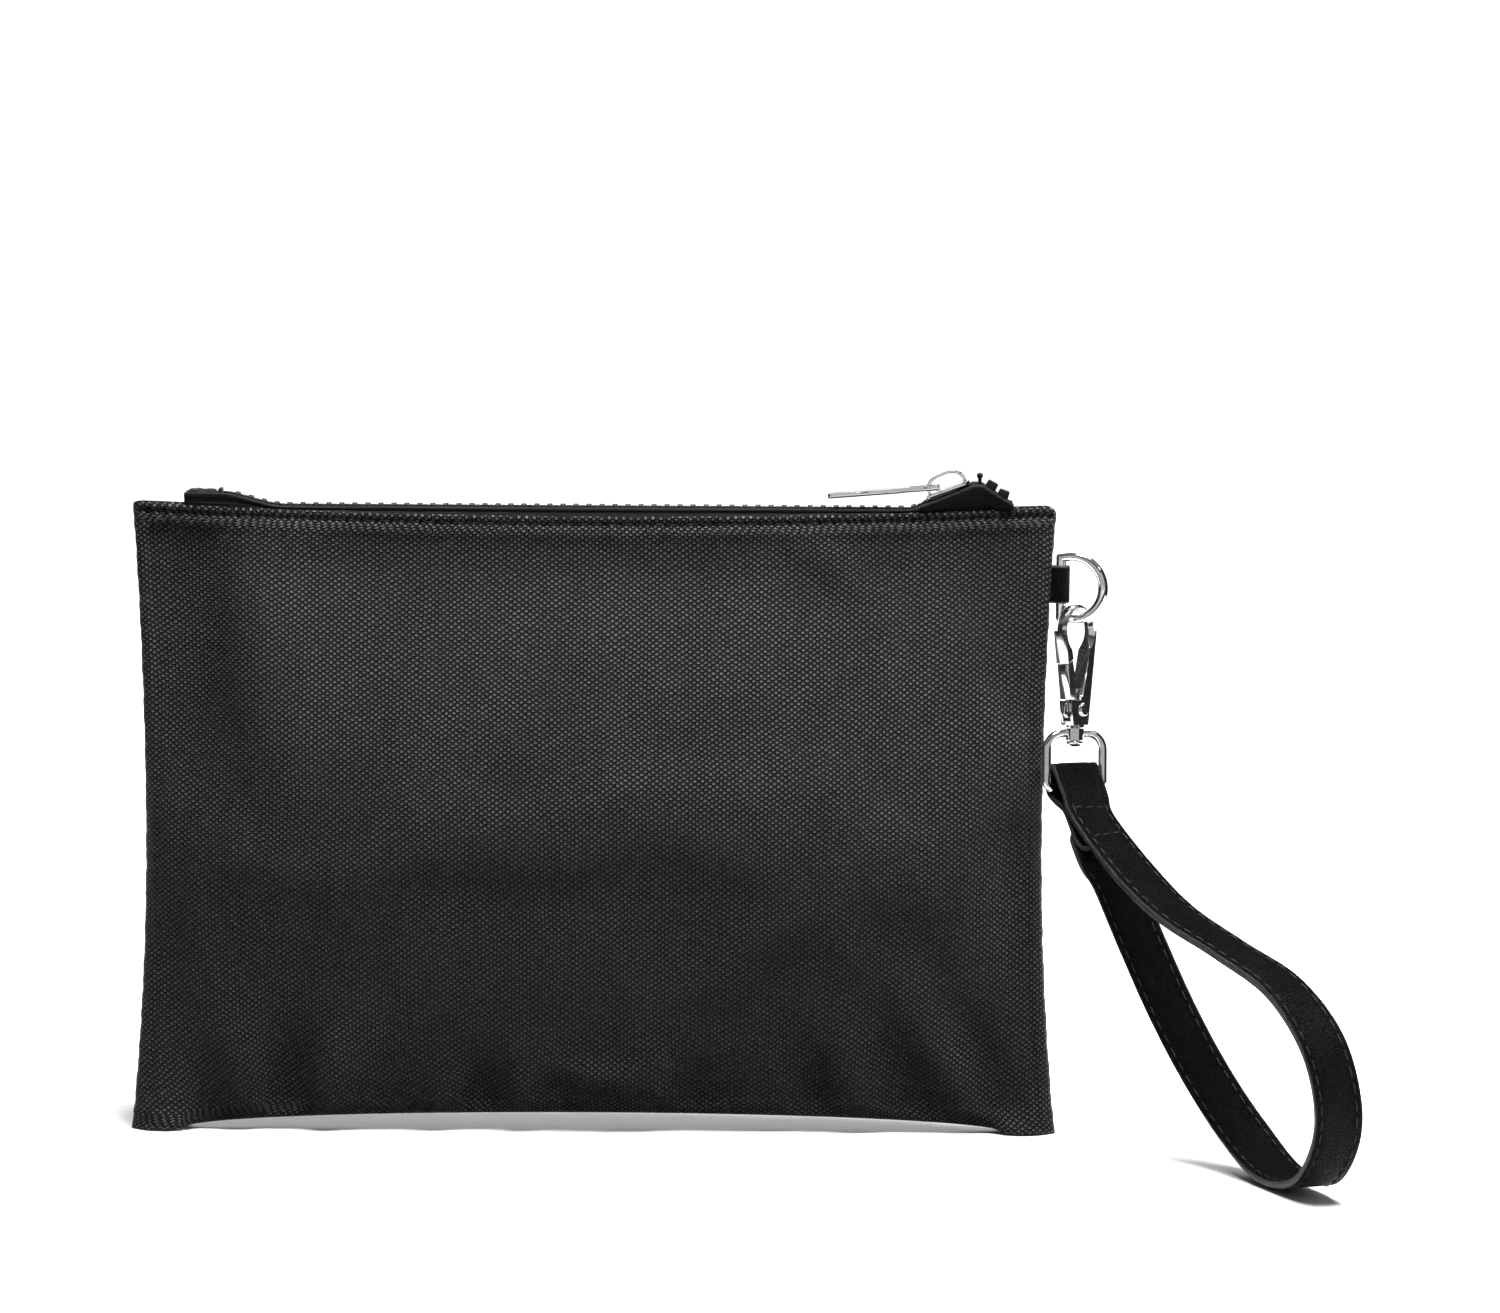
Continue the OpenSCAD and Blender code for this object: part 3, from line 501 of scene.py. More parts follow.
def settled(u, v, folds):
    """How far the cloth moves when it is filled, with its edges held and 3.5 % of spare cloth."""
    n, m = u.shape
    x, y, z = body_x(u, v), -half_t(u, v) + folded(u, v, folds), body_z(u, v)
    rest = np.stack([x, y, z], axis=2) * SIM_SCALE
    mesh = mesh_from("trial", rest.reshape(-1, 3), grid_faces(n, m))
    trial = placed("trial", mesh)
    held = trial.vertex_groups.new(name="held")
    index = np.arange(n * m).reshape(n, m)
    edges = index[:2], index[-2:], index[:, :1], index[:, -2:]
    rim = np.unique(np.concatenate([edge.ravel() for edge in edges]))
    held.add(rim.tolist(), 1.0, "REPLACE")
    cloth = trial.modifiers.new("cloth", "CLOTH")
    s = cloth.settings
    s.quality, s.mass = 6, 0.35
    s.tension_stiffness = s.compression_stiffness = 18
    s.shear_stiffness, s.bending_stiffness = 6, 1.6
    s.vertex_group_mass = "held"
    s.shrink_min = -0.035
    s.use_pressure = True
    s.uniform_pressure_force = 0.35
    s.effector_weights.gravity = 0
    cloth.point_cache.frame_start, cloth.point_cache.frame_end = 1, SIM_FRAMES
    scene = bpy.context.scene
    for step in range(1, SIM_FRAMES + 1):
        scene.frame_set(step)
    found = trial.evaluated_get(bpy.context.evaluated_depsgraph_get())
    co = np.zeros(n * m * 3)
    found.data.vertices.foreach_get("co", co)
    scene.frame_set(1)
    bpy.data.objects.remove(trial)
    bpy.data.meshes.remove(mesh)
    move = (co.reshape(n, m, 3) - rest) / SIM_SCALE
    far = np.linalg.norm(move, axis=2, keepdims=True)
    return move * (np.minimum(far, SETTLED_MOST) / np.maximum(far, 1e-9))


def folded(u, v, folds):
    """Depth of the pressed folds: positive is inwards, up to FOLD_ROOM of the room that there is."""
    x, z = body_x(u, v), body_z(u, v)
    depth = np.zeros_like(x)
    for fx, fz, wx, wz, slant, amount in folds:
        dx = x - fx - slant * (z - fz)
        depth -= FOLD_DEPTH * amount * np.exp(-(dx / wx) ** 2 - ((z - fz) / wz) ** 2)
    depth *= ease((1 - np.abs(u)) / 0.06) * ease(v / 0.03) * ease((1 - v) / 0.06)
    room = FOLD_ROOM * np.maximum(half_t(u, v) - CLOTH_T, 0.01)
    return np.where(depth > 0, room * (1 - np.exp(-depth / room)), depth)


def upsample(move, coarse, fine):
    """Spreads a coarse grid's moves over a fine one, with its kinks smoothed."""
    (cu, cv), (fu, fv) = coarse, fine
    out = np.zeros((*fu.shape, 3))
    for axis in range(3):
        rows = np.array([np.interp(fu[:, 0], cu[:, 0], line) for line in move[..., axis].T])
        out[..., axis] = [np.interp(fv[0], cv[0], line) for line in rows.T]
    for _ in range(3):
        out[1:-1] = 0.5 * out[1:-1] + 0.25 * (out[:-2] + out[2:])
        out[:, 1:-1] = 0.5 * out[:, 1:-1] + 0.25 * (out[:, :-2] + out[:, 2:])
    return out


# How far in the seam's groove and the hem's stitch row lie, their widths and depths
SEAM_IN, SEAM_HALF, SEAM_DEEP = 4.4, 0.9, 0.4
HEM_ROW, HEM_GROOVE_HALF, HEM_GROOVE_DEEP = 1.8, 0.7, 0.5
# The hem's rolled edge ends in a low ridge under the stitches, and each stitch puckers the cloth
RIDGE_DOWN, RIDGE_HALF, RIDGE_HIGH = 4.4, 1.7, 0.35
STITCH, PUCKER = 4.1, 0.3
# The side edges: their rounding, the seam's uneven edge, and the corners' wear beside the hem
EDGE_ROUND, SCALLOP, CORNER_WEAR, CORNER_LEFT, CORNER_RIGHT = 0.8, 0.07, 3.2, 0.6, 2.2


def panel_surface(u, v, folds, move, side):
    """The panel's outer face: side is -1 for the front and 1 for the back."""
    x, z = body_x(u, v), body_z(u, v)
    height = hem_z(x) - bottom_z(x)
    from_side = (1 - np.abs(u)) * side_w(v * POUCH_H)
    from_bottom, from_top = v * height, (1 - v) * height
    t = half_t(u, v) - folded(u, v, folds)
    t = t - SEAM_DEEP * lump(from_side, SEAM_IN, SEAM_HALF) * ease(from_bottom / 3) * ease(from_top / 3)
    t = t - HEM_GROOVE_DEEP * lump(from_top, HEM_ROW, HEM_GROOVE_HALF)
    t = t + RIDGE_HIGH * lump(from_top, RIDGE_DOWN, RIDGE_HALF) * ease(from_side / 6)
    pull = PUCKER * np.sin(2 * PI * x / STITCH) * lump(from_top, HEM_ROW + 0.6, 1.6)
    t = t + pull * ease(from_side / 5)
    edge = np.minimum(from_side, from_bottom + 0.02) / EDGE_ROUND
    t = t * np.where(edge < 1, np.sqrt(np.clip(1 - (1 - edge) ** 2, 0.02, 1)), 1)
    scallop = SCALLOP * np.sin(2 * PI * z / 4.6 + 2 * np.sin(z / 23.0)) * ease((3 - from_side) / 3)
    scallop = scallop + SCALLOP * np.sin(z / 1.9 + x) * ease((2 - from_side) / 2)
    x = x + np.sign(u) * (scallop - 0.12) * ease(from_bottom / 2)
    worn = 1 - np.sqrt(np.clip(1 - (1 - np.minimum(from_side / CORNER_WEAR, 1)) ** 2, 0, 1))
    z = z - worn * np.where(u > 0, CORNER_RIGHT, CORNER_LEFT) * ease((9 - from_top) / 9)
    grid = np.stack([x, side * t, z], axis=2)
    free = ease(from_top / 16) * ease(from_side / 9) * ease(from_bottom / 7)
    move = move * free[..., None]
    grid[..., 0] += move[..., 0]
    grid[..., 1] += -side * move[..., 1]
    grid[..., 2] += move[..., 2] * ease(from_bottom / 4)
    return grid


def panel(name, node, folds, side):
    """A woven panel with its thickness: its face, its rounded top edge, its inside and its two ends."""
    fine = edge_grid(230, 156)
    u, v = fine
    move = np.zeros((*u.shape, 3))
    coarse = edge_grid(84, 58)
    move = upsample(settled(*coarse, folds), coarse, fine)
    outer = panel_surface(u, v, folds, move, side)
    flat = flat_lengths(panel_surface(u, v, folds, 0 * move, side))
    depth = np.abs(outer[..., 1])
    thick = np.minimum(np.clip(depth, 0.02 * CLOTH_T, CLOTH_T), depth - 0.01)
    inner = outer.copy()
    inner[..., 1] = side * np.maximum(depth - thick, 0.005)
    top_out, top_in = outer[:, -1], inner[:, -1]
    caps = []
    for a in (PI / 4, PI / 2, 3 * PI / 4):
        cap = lerp(top_out, top_in, (1 - math.cos(a)) / 2)
        cap[:, 2] += 0.5 * math.sin(a) * ease(np.abs(top_out - top_in)[:, 1] / 0.8)
        caps.append(cap)
    ring = np.concatenate([outer, np.stack(caps, axis=1), inner[:, ::-1]], axis=1)
    cap_flat = np.repeat(flat[:, -1:], 3, axis=1) + np.array([0, 0.4, 0])
    cloth = np.concatenate([flat, cap_flat, flat[:, ::-1]], axis=1)
    n, k = ring.shape[:2]
    faces = grid_faces(n, k, wrap=True, flip=side > 0)
    for j in range(k // 2):
        end = tuple(dict.fromkeys((j, k - 1 - j, (k - 2 - j) % k, (j + 1) % k)))
        if len(end) > 2:
            other = tuple(i + (n - 1) * k for i in end)
            faces += [end, other[::-1]] if side < 0 else [end[::-1], other]
    points = ring.reshape(-1, 3)
    piece = make(name, points, faces, woven, "pouch", (node,), cloth.reshape(-1, 3))
    return piece, outer, cut_size(flat)


front, front_face, front_flat = panel("woven_front", "front_panel", FRONT_FOLDS, -1)
back, back_face, back_flat = panel("woven_back", "back_panel", BACK_FOLDS, 1)


# ---------- top stitching ----------

THREAD_R, THREAD_SIDES, THREAD_STEPS = 0.24, 7, 9


def stitch(batch, a, b, lift, normal, radius=THREAD_R):
    """One sewn stitch from a to b: it dives into the cloth at both ends."""
    a, b, normal = np.asarray(a, float), np.asarray(b, float), unit(normal)
    t = np.linspace(0, 1, THREAD_STEPS)[:, None]
    path = lerp(a, b, t) + normal * (lift * np.sin(PI * t) ** 0.6 - 0.18)
    points, faces = tapered_tube(path, radius, THREAD_SIDES)
    length = np.linalg.norm(b - a)
    s = np.append(np.repeat(length * t, THREAD_SIDES), [0, length])
    turn = np.append(np.tile(np.arange(THREAD_SIDES) * 2 * PI / THREAD_SIDES, THREAD_STEPS), [0, 0])
    batch.add(points, faces, np.stack([s, turn, 0 * s], axis=1))


def hem_stitches(name, node, face, side):
    """A row of stitches along a hem, on the panel's own surface."""
    heights = face[len(face) // 2, :, 2]
    row = int(np.argmin(np.abs(heights[-1] - heights - HEM_ROW)))
    line = face[:, row]
    end_in = 4.2
    x = np.arange(end_in - TOP, TOP - end_in, STITCH)
    at = np.stack([np.interp(x, line[:, 0], line[:, k]) for k in range(3)], axis=1)
    batch = Batch()
    for a, b in zip(at[:-1], at[1:]):
        gap = (b - a) * 0.13
        low = np.array([0, 0, random.uniform(-0.12, 0.12)])
        stitch(batch, a + gap + low, b - gap - low, 0.42, (0, side, 0.1))
    return batch.piece(name, thread, "pouch", "thread", (node,))


hem_front = hem_stitches("hem_stitches_front", "hem_thread_front", front_face, -1)
hem_back = hem_stitches("hem_stitches_back", "hem_thread_back", back_face, 1)


# ---------- lining bag ----------

def lining(name, node, side, folds):
    """One half of the lining bag, a little slack, with soft creases."""
    u, v = edge_grid(90, 64)
    uu, vv = u * 0.965, lerp(0.035, 0.955, v)
    room = half_t(uu, vv) - np.maximum(folded(uu, vv, folds), 0) - CLOTH_T - LINING_GAP
    rim = ease((1 - np.abs(u)) / 0.05) * ease(v / 0.05)
    x, z = body_x(uu, vv), body_z(uu, vv)
    slack = 0.5 + 0.5 * np.sin(x / 9.0 + 1.3 * np.sin(z / 17.0) + side) * np.sin(z / 13.0 + x / 31.0)
    slack = slack * ease((1 - np.abs(u)) / 0.12) * ease(v / 0.1) * ease((1 - v) / 0.08)
    out = lerp(LINING_T, np.maximum(LINING_T, room - 2.2 - 1.4 * slack), rim)
    outer = np.stack([x, side * out, z], axis=2)
    inner = outer.copy()
    inner[..., 1] = side * (out - LINING_T + 0.01)
    flat = flat_lengths(outer)
    n, m = u.shape
    points = np.concatenate([outer.reshape(-1, 3), inner.reshape(-1, 3)])
    faces = grid_faces(n, m, flip=side > 0) + grid_faces(n, m, start=n * m, flip=side < 0)
    index = np.arange(n * m).reshape(n, m)
    loop = np.concatenate([index[:-1, 0], index[-1, :-1], index[1:, -1][::-1], index[0, 1:][::-1]])
    for a, b in zip(loop, np.roll(loop, -1)):
        quad = (a, b, b + n * m, a + n * m)
        faces.append(quad if side < 0 else quad[::-1])
    cloth = np.concatenate([flat.reshape(-1, 3)] * 2)
    piece = make(name, points, faces, taffeta, "pouch", (node,), cloth)


lining("lining_half_front", "front_lining", -1, FRONT_FOLDS)
lining("lining_half_back", "back_lining", 1, BACK_FOLDS)


# ---------- zip: tapes, teeth and ends ----------

LEFT_END = 25 - HALF_W
SLIDER_X, SLIDER_Z, TILT = HALF_W - 30.6, POUCH_H + 3.4, math.radians(22)
CHAIN_Z = POUCH_H - HEM_DIP + 2.4
CLIMB_X = SLIDER_X - (SLIDER_Z - CHAIN_Z) / math.tan(TILT)
CREST_X = SLIDER_X + 6.4
CREST_Z = SLIDER_Z + (CREST_X - SLIDER_X) * math.tan(TILT)
RIGHT_X, RIGHT_Z = CREST_X + 10, POUCH_H + 1
TAPE_INNER, SHOULDER = 2.8, 5.0
# The chain's left end rises, and its crest on the hump is level for a little
LEFT_RISE, LEFT_REACH, LEVEL = 3.4, 18, 2.2


def chain_at(x):
    """The height of the zip chain: along the mouth, up the hump, over its crest and down again."""
    x = np.asarray(x, float)
    left = CHAIN_Z + LEFT_RISE * ease((LEFT_END + LEFT_REACH - x) / LEFT_REACH)
    climb = CHAIN_Z + (x - CLIMB_X) * math.tan(TILT)
    past = (x - CREST_X - LEVEL) / (RIGHT_X - CREST_X - LEVEL)
    fall = lerp(CREST_Z, RIGHT_Z, np.clip(past, 0, 1))
    ends = x < LEFT_END + LEFT_REACH, x < CLIMB_X, x < CREST_X, x < CREST_X + LEVEL
    return np.select(ends, [left, CHAIN_Z, climb, CREST_Z], fall)


def rounded_line(corners, steps):
    """A line that rounds its corner points, in equal steps."""
    corners = np.asarray(corners, float)
    return curve(corners, np.gradient(corners, axis=0) * 0.7, np.linspace(0, len(corners) - 1, steps))


def hem_inside(x, down):
    """How far out the hem's inner face is, at a distance down from its top."""
    return float(half_t(x / TOP, 1 - down / POUCH_H)) - CLOTH_T - 0.3


def tape_line(x):
    """The tape's middle, from the chain out over the shoulder and down inside the hem."""
    y = hem_inside(x, 0.4)
    low = min(y, hem_inside(x, 5.4))
    top, z = float(chain_at(x)), float(hem_z(x)) - 0.4
    on_hump = float(ease((top - CHAIN_Z) / 1.5)) if x > 0 else 0.0
    out_y = lerp(lerp(TAPE_INNER, y, 0.4), SHOULDER + TAPE_T, on_hump)
    out_z = lerp(lerp(top, z, 0.4), top, on_hump)
    ripple = 0.12 * math.sin(x / 2.3) * (1 - on_hump)
    half = TAPE_T / 2
    return [
        (x, -low + half, z - 5), (x, -y + half, z - 0.4),
        (x, -(out_y + y) / 2, (out_z + z) / 2 + 0.15 + ripple),
        (x, -out_y, out_z), (x, -TAPE_INNER - 0.6, top), (x, -TAPE_INNER + 0.9, top),
    ]


def zip_tape(name, node, side):
    level_end, steps = CREST_X + LEVEL, 26
    xs = [
        np.arange(LEFT_END - 9, CLIMB_X, 1.1),
        np.arange(CLIMB_X, level_end, 0.7),
        np.arange(level_end, RIGHT_X + 1, 0.7),
    ]
    xs = np.concatenate(xs)
    lines = np.array([rounded_line(tape_line(x), steps) for x in xs])
    along = unit(np.gradient(lines, axis=0))
    over = unit(np.gradient(lines, axis=1))
    bead = np.ones(steps)
    bead[-4:] = (1.15, 1.3, 1.3, 0.8)
    half = unit(np.cross(over, along)) * (TAPE_T / 2 - 0.04) * bead[:, None]
    rings = np.concatenate([lines + half, (lines - half)[:, ::-1]], axis=1)
    width = np.cumsum(np.linalg.norm(np.diff(lines, axis=1, prepend=lines[:, :1]), axis=2), axis=1)
    cloth = np.stack([np.repeat(xs[:, None], steps, 1), width, 0 * width], axis=2)
    cloth = np.concatenate([cloth, cloth[:, ::-1]], axis=1).reshape(-1, 3)
    rings[..., 1] *= -side
    points, faces = skin(rings, flip=side > 0)
    cloth = np.concatenate([cloth, cloth[:1], cloth[-1:]])
    make(name, points, faces, knit, "pouch", (node,), cloth)


zip_tape("tape_knit_front", "zip_tape_front", -1)
zip_tape("tape_knit_back", "zip_tape_back", 1)


def soft_block(size, edge):
    """A block with rounded edges, as points and faces."""
    bm = bmesh.new()
    bmesh.ops.create_cube(bm, size=1.0)
    bmesh.ops.scale(bm, vec=size, verts=bm.verts)
    corners = bm.edges[:] + bm.verts[:]
    bmesh.ops.bevel(bm, geom=corners, offset=edge, segments=3, profile=0.5, affect="EDGES")
    points = np.array([v.co for v in bm.verts])
    faces = [[v.index for v in f.verts] for f in bm.faces]
    bm.free()
    return points, faces


# Half the outline (y, x) of a moulded tooth seen from above: a foot on the tape, a waist, a wide head
TOOTH_HALF = [
    (-2.65, 0.52), (-2.45, 0.72), (-1.15, 0.72), (-0.85, 0.47), (-0.1, 0.4), (0.12, 0.55),
    (0.35, 0.72), (0.72, 0.68), (0.92, 0.38),
]
# The tooth's levels (z), with how wide it is at each. Its head is lower than its foot
TOOTH_LEVELS = [(-0.88, 0.84), (-0.7, 1.0), (0.0, 1.02), (0.7, 1.0), (0.88, 0.82)]
HEAD_FROM, HEAD_LOW = -0.9, 0.78


def tooth_form():
    outline = TOOTH_HALF + [(y, -x) for y, x in TOOTH_HALF[::-1]]
    middle = np.mean([y for y, _ in outline])
    rings = []
    for z, grow in TOOTH_LEVELS:
        ring = []
        for y, x in outline:
            low = HEAD_LOW if y > HEAD_FROM and abs(z) > 0.6 else 1.0
            ring.append((x * grow, middle + (y - middle) * (1 - (1 - grow) * 0.35), z * low))
        rings.append(ring)
    return skin(rings)


TOOTH_PITCH, FIRST_TOOTH_IN, LAST_TOOTH_IN = 3.5, 3.2, 0.6
TOOTH = tooth_form()
TEETH = int((CREST_X - LAST_TOOTH_IN - LEFT_END - FIRST_TOOTH_IN) // TOOTH_PITCH)


def teeth(name, node, side, shift):
    batch = Batch()
    points, faces = TOOTH
    for i in range(TEETH):
        x = LEFT_END + FIRST_TOOTH_IN + (i + shift) * TOOTH_PITCH
        slope = math.atan(float(chain_at(x + 0.5) - chain_at(x - 0.5)))
        p = points.copy()
        p[:, 1] *= -side
        spin = slope + random.uniform(-0.025, 0.025)
        c, s = math.cos(spin), math.sin(spin)
        turned = np.stack([p[:, 0] * c - p[:, 2] * s, p[:, 1], p[:, 0] * s + p[:, 2] * c], axis=1)
        turned += (x, 0, float(chain_at(x)))
        batch.add(turned, faces if side > 0 else [f[::-1] for f in faces])
    batch.piece(name, plastic, "pouch", "zip_plastic", (node,), sharp=40)


teeth("teeth_front", "zip_teeth_front", -1, 0.0)
teeth("teeth_back", "zip_teeth_back", 1, 0.5)


def end_tab():
    """The tape ends folded back over each other at the zip's left end, bar-tacked down."""
    low, high = sized("zip_end_tab")
    x0, x1, z0, z1, half = low[0], high[0], low[2], high[2], high[1]
    rings = []
    for t in np.linspace(-1, 1, 15):
        y = half * t * 0.98
        top = z1 - 0.12 - 0.5 * abs(t) ** 3
        shape = [
            (x0 + 0.1, y, z0), (x0 + 0.05, y, lerp(z0, top, 0.55)), (x0 + 0.6, y, top - 0.75),
            (x0 + 1.9, y, top - 0.05), (x0 + 4.3, y, top - 0.3 + 0.12 * math.sin(3 * t)),
            (x0 + 6.7, y, top - 0.12), (x1 - 0.4, y, top - 0.2),
            (x1 - 0.05, y, top - 0.9), (x1 - 0.1, y, z0),
        ]
        line = rounded_line(shape, 40)
        under = line.copy()
        under[:, 2] = z0
        rings.append(np.concatenate([line, under[::-1][1:-1]]))
    points, faces = skin(rings)
    cloth = np.stack([points[:, 0] + points[:, 2], points[:, 1], 0 * points[:, 0]], axis=1)
    make("tape_end_fold", points, faces, knit, "pouch", ("zip_end_tab",), cloth, sharp=60)
    sewn = Batch()
    for y in np.linspace(0.6 - half, half - 0.6, 7):
        stitch(sewn, (x0 + 2.6, y, z1 - 0.3), (x0 + 4.6, y + 0.3, z1 - 0.3), 0.16, (0, 0, 1), 0.15)
    for x in (x1 - 2.4, x1 - 1.8, x1 - 1.2):
        stitch(sewn, (x, 0.5 - half, z1 - 0.22), (x, half - 0.5, z1 - 0.22), 0.14, (0, 0, 1), 0.14)
    sewn.piece("tape_end_tack", thread, "pouch", "thread")


end_tab()


def bottom_stop():
    """The moulded block that stops the slider at the open end, in its CAD block's place."""
    low, high = sized("zip_bottom_stop")
    points, faces = soft_block((high - low) * 0.98, 0.35)
    points += (low + high) / 2
    make(
        "bottom_stop_moulded", points, faces, plastic, "pouch", ("zip_bottom_stop",),
        sharp=50,
    )


bottom_stop()

# The top stops, from the chain's crest: the post's levels with its radius at each, and two blocks
POST_AT = (1.6, -1.4, 0)
POST = [
    (-1.6, 0.62), (-0.4, 0.55), (1.0, 0.5), (1.9, 0.52), (2.15, 0.78), (2.6, 0.88), (3.05, 0.8),
    (3.3, 0.5), (3.42, 0.2),
]
STOP_BLOCKS = [
    ((4.7, 1.2, -0.7), 28, (3.1, 2.6, 3.3)), ((7.9, -1.3, -2.6), 20, (3.0, 2.4, 3.0)),
]


def top_stops():
    """The headed post and two moulded blocks at the closed end."""
    batch = Batch()
    crest = np.array([CREST_X, 0, CREST_Z])
    turn = np.arange(16) * PI / 8
    rings = [np.stack([r * np.cos(turn), r * np.sin(turn), 0 * turn + z], axis=1) for z, r in POST]
    batch.add(*skin(np.array(rings) + crest + POST_AT))
    for place, degrees, size in STOP_BLOCKS:
        points, faces = soft_block(size, 0.42)
        points[:, 0] *= 1 - 0.1 * points[:, 2] / size[2]
        spin = np.array(Matrix.Rotation(math.radians(degrees), 3, "Y"))
        batch.add(points @ spin.T + crest + place, faces)
    batch.piece("top_stops_moulded", plastic, "pouch", "zip_plastic", ("zip_top_stops",), sharp=50)


top_stops()


# ---------- chrome pieces ----------

def eased_metal(node, name, body, width, segments):
    """A CAD casting with its hard edges rounded, as plating leaves them."""
    bm = bmesh.new()
    bm.from_mesh(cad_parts[node].data)
    bmesh.ops.remove_doubles(bm, verts=bm.verts, dist=2e-6)
    bmesh.ops.dissolve_limit(bm, angle_limit=math.radians(0.6), verts=bm.verts, edges=bm.edges)
    bmesh.ops.recalc_face_normals(bm, faces=bm.faces)
    corner = math.radians(28)
    hard = [e for e in bm.edges if len(e.link_faces) == 2 and e.calc_face_angle(0) > corner]
    bmesh.ops.bevel(
        bm, geom=hard, offset=width * MM, segments=segments, profile=0.5, affect="EDGES",
        clamp_overlap=True, miter_outer="ARC",
    )
    bmesh.ops.triangulate(bm, faces=[f for f in bm.faces if len(f.verts) > 4])
    mesh = bpy.data.meshes.new(name)
    bm.to_mesh(mesh)
    bm.free()
    dress(placed(name, mesh), chrome, body, (node,), sharp=32)


for casting in (
    ("slider_body", "slider_plates", "slider", 0.14, 2),
    ("slider_bridge", "slider_arch", "slider", 0.22, 3),
    ("zip_puller", "puller_bar", "puller", 0.16, 2),
    ("hook_body", "hook_cast", "hook", 0.3, 3),
    ("hook_gate", "gate_lever", "gate", 0.2, 2),
    ("gate_rivet", "rivet_domed", "hook", 0.2, 3),
    ("swivel_post", "post_domed", "hook", 0.25, 3),
):
    eased_metal(*casting)
for node, metal in (("d_ring", chrome), ("swivel_eye", chrome), ("gate_spring", spring_steel)):
    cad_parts[node].data.materials.clear()
    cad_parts[node].data.materials.append(metal)


# ---------- ring tab ----------

TAB_R, TAB_T, TAB_EDGE_R = 1.4, 1.0, 0.45


def tab_line(start, end, radius, flat):
    """Half of the tab's section and back: out from the seam at y = -flat, round the bar's far side."""
    near = [(start, -flat)]
    for k in (3.4, 2.4, 1.4, 0.6):
        near.append((end - k, -max(flat, radius - TAB_R + TAB_R * ease(1 - k / 2.6))))
    turn = np.linspace(-PI / 2, PI / 2, 25)
    arc = [(end + radius * math.cos(a), radius * math.sin(a)) for a in turn]
    return np.array(near + arc + [(x, -y) for x, y in near[::-1]])


def ring_tab():
    """A strip of leather round the ring's bar, with painted edges."""
    low, high = sized("ring_tab")
    bar_x = high[0] - TAB_R - TAB_T
    outer = tab_line(low[0], bar_x, TAB_R + TAB_T, TAB_T)
    inner = tab_line(low[0], bar_x, TAB_R, 0.06)
    length = np.cumsum(np.linalg.norm(np.diff(outer, axis=0, prepend=outer[:1]), axis=1))
    zs = np.linspace(low[2] + TAB_EDGE_R, high[2] - TAB_EDGE_R, 12)
    up = np.stack(np.broadcast_arrays(outer[:, :1], outer[:, 1:], zs), axis=2)
    down = np.stack(np.broadcast_arrays(inner[:, :1], inner[:, 1:], zs[::-1]), axis=2)
    points, faces = skin(np.concatenate([up, down], axis=1), flip=True)
    cloth = np.stack(np.broadcast_arrays(length[:, None], np.tile(zs, 2), 0.0), axis=2)
    cloth = np.concatenate([cloth.reshape(-1, 3), cloth[[0, -1], 0]])
    make("tab_leather", points, faces, leather, "pouch", ("ring_tab",), cloth, sharp=50)
    paint = Batch()
    turn = 2 * PI * np.arange(12)[:, None] / 12
    for z, sign in ((low[2] + 0.5, -1), (high[2] - 0.5, 1)):
        rings = []
        for o, i in zip(outer, inner):
            middle, reach = (o + i) / 2, (o - i) / 2 * 1.03
            side = middle + reach * np.cos(turn)
            rings.append(np.concatenate([side, z + sign * TAB_EDGE_R * np.sin(turn)], axis=1))
        paint.add(*skin(rings, flip=sign < 0))
    paint.piece("tab_painted_edges", edge_paint, "pouch", "leather")


ring_tab()


# ---------- wrist strap ----------

STRAP_W, LAYER_T = 12.8, 1.0
# Where the ring is, and how it, the hook and the eye lean (degrees), as in part.scad
RING_Z, RING_TURN, HOOK_LEAN, HOOK_DOWN, EYE_TURN, STRAP_TURN = 149.8, -15, 8, 8.6, -7, 15


def turned(p, degrees, axis):
    return np.array(Matrix.Rotation(math.radians(degrees), 3, axis)) @ np.asarray(p, float)


RING_X = float(side_w(RING_Z)) + 2.6
LEAN = math.radians(HOOK_LEAN)
HANG = np.array([RING_X, 0, RING_Z]) + turned(
    (2.95 + HOOK_DOWN * math.sin(LEAN), 0, -HOOK_DOWN * math.cos(LEAN)), RING_TURN, "Z"
)
EYE_BAR = HANG + turned((0, 0, -45.2), EYE_TURN, "X")
# The strap folds over the eye's bar and comes back under itself, with its two ends sewn between
FOLD = EYE_BAR + turned((0, 1.1, 1.2), STRAP_TURN, "Z")
FOLD_R, SLOPE, FRONT_N = 4.4, math.radians(37), 4.5
LAYER_STEP = 2 * LAYER_T + 0.12


def fold_point(s, n):
    """A point s down the strap's slope from the fold's centre, and n out of it."""
    back = -s * math.cos(SLOPE) - n * math.sin(SLOPE)
    return FOLD + turned((0, back, n * math.cos(SLOPE) - s * math.sin(SLOPE)), STRAP_TURN, "Z")


def fold_arc(degrees):
    a = math.radians(degrees)
    return fold_point(-FOLD_R * math.cos(a), FOLD_R * math.sin(a))


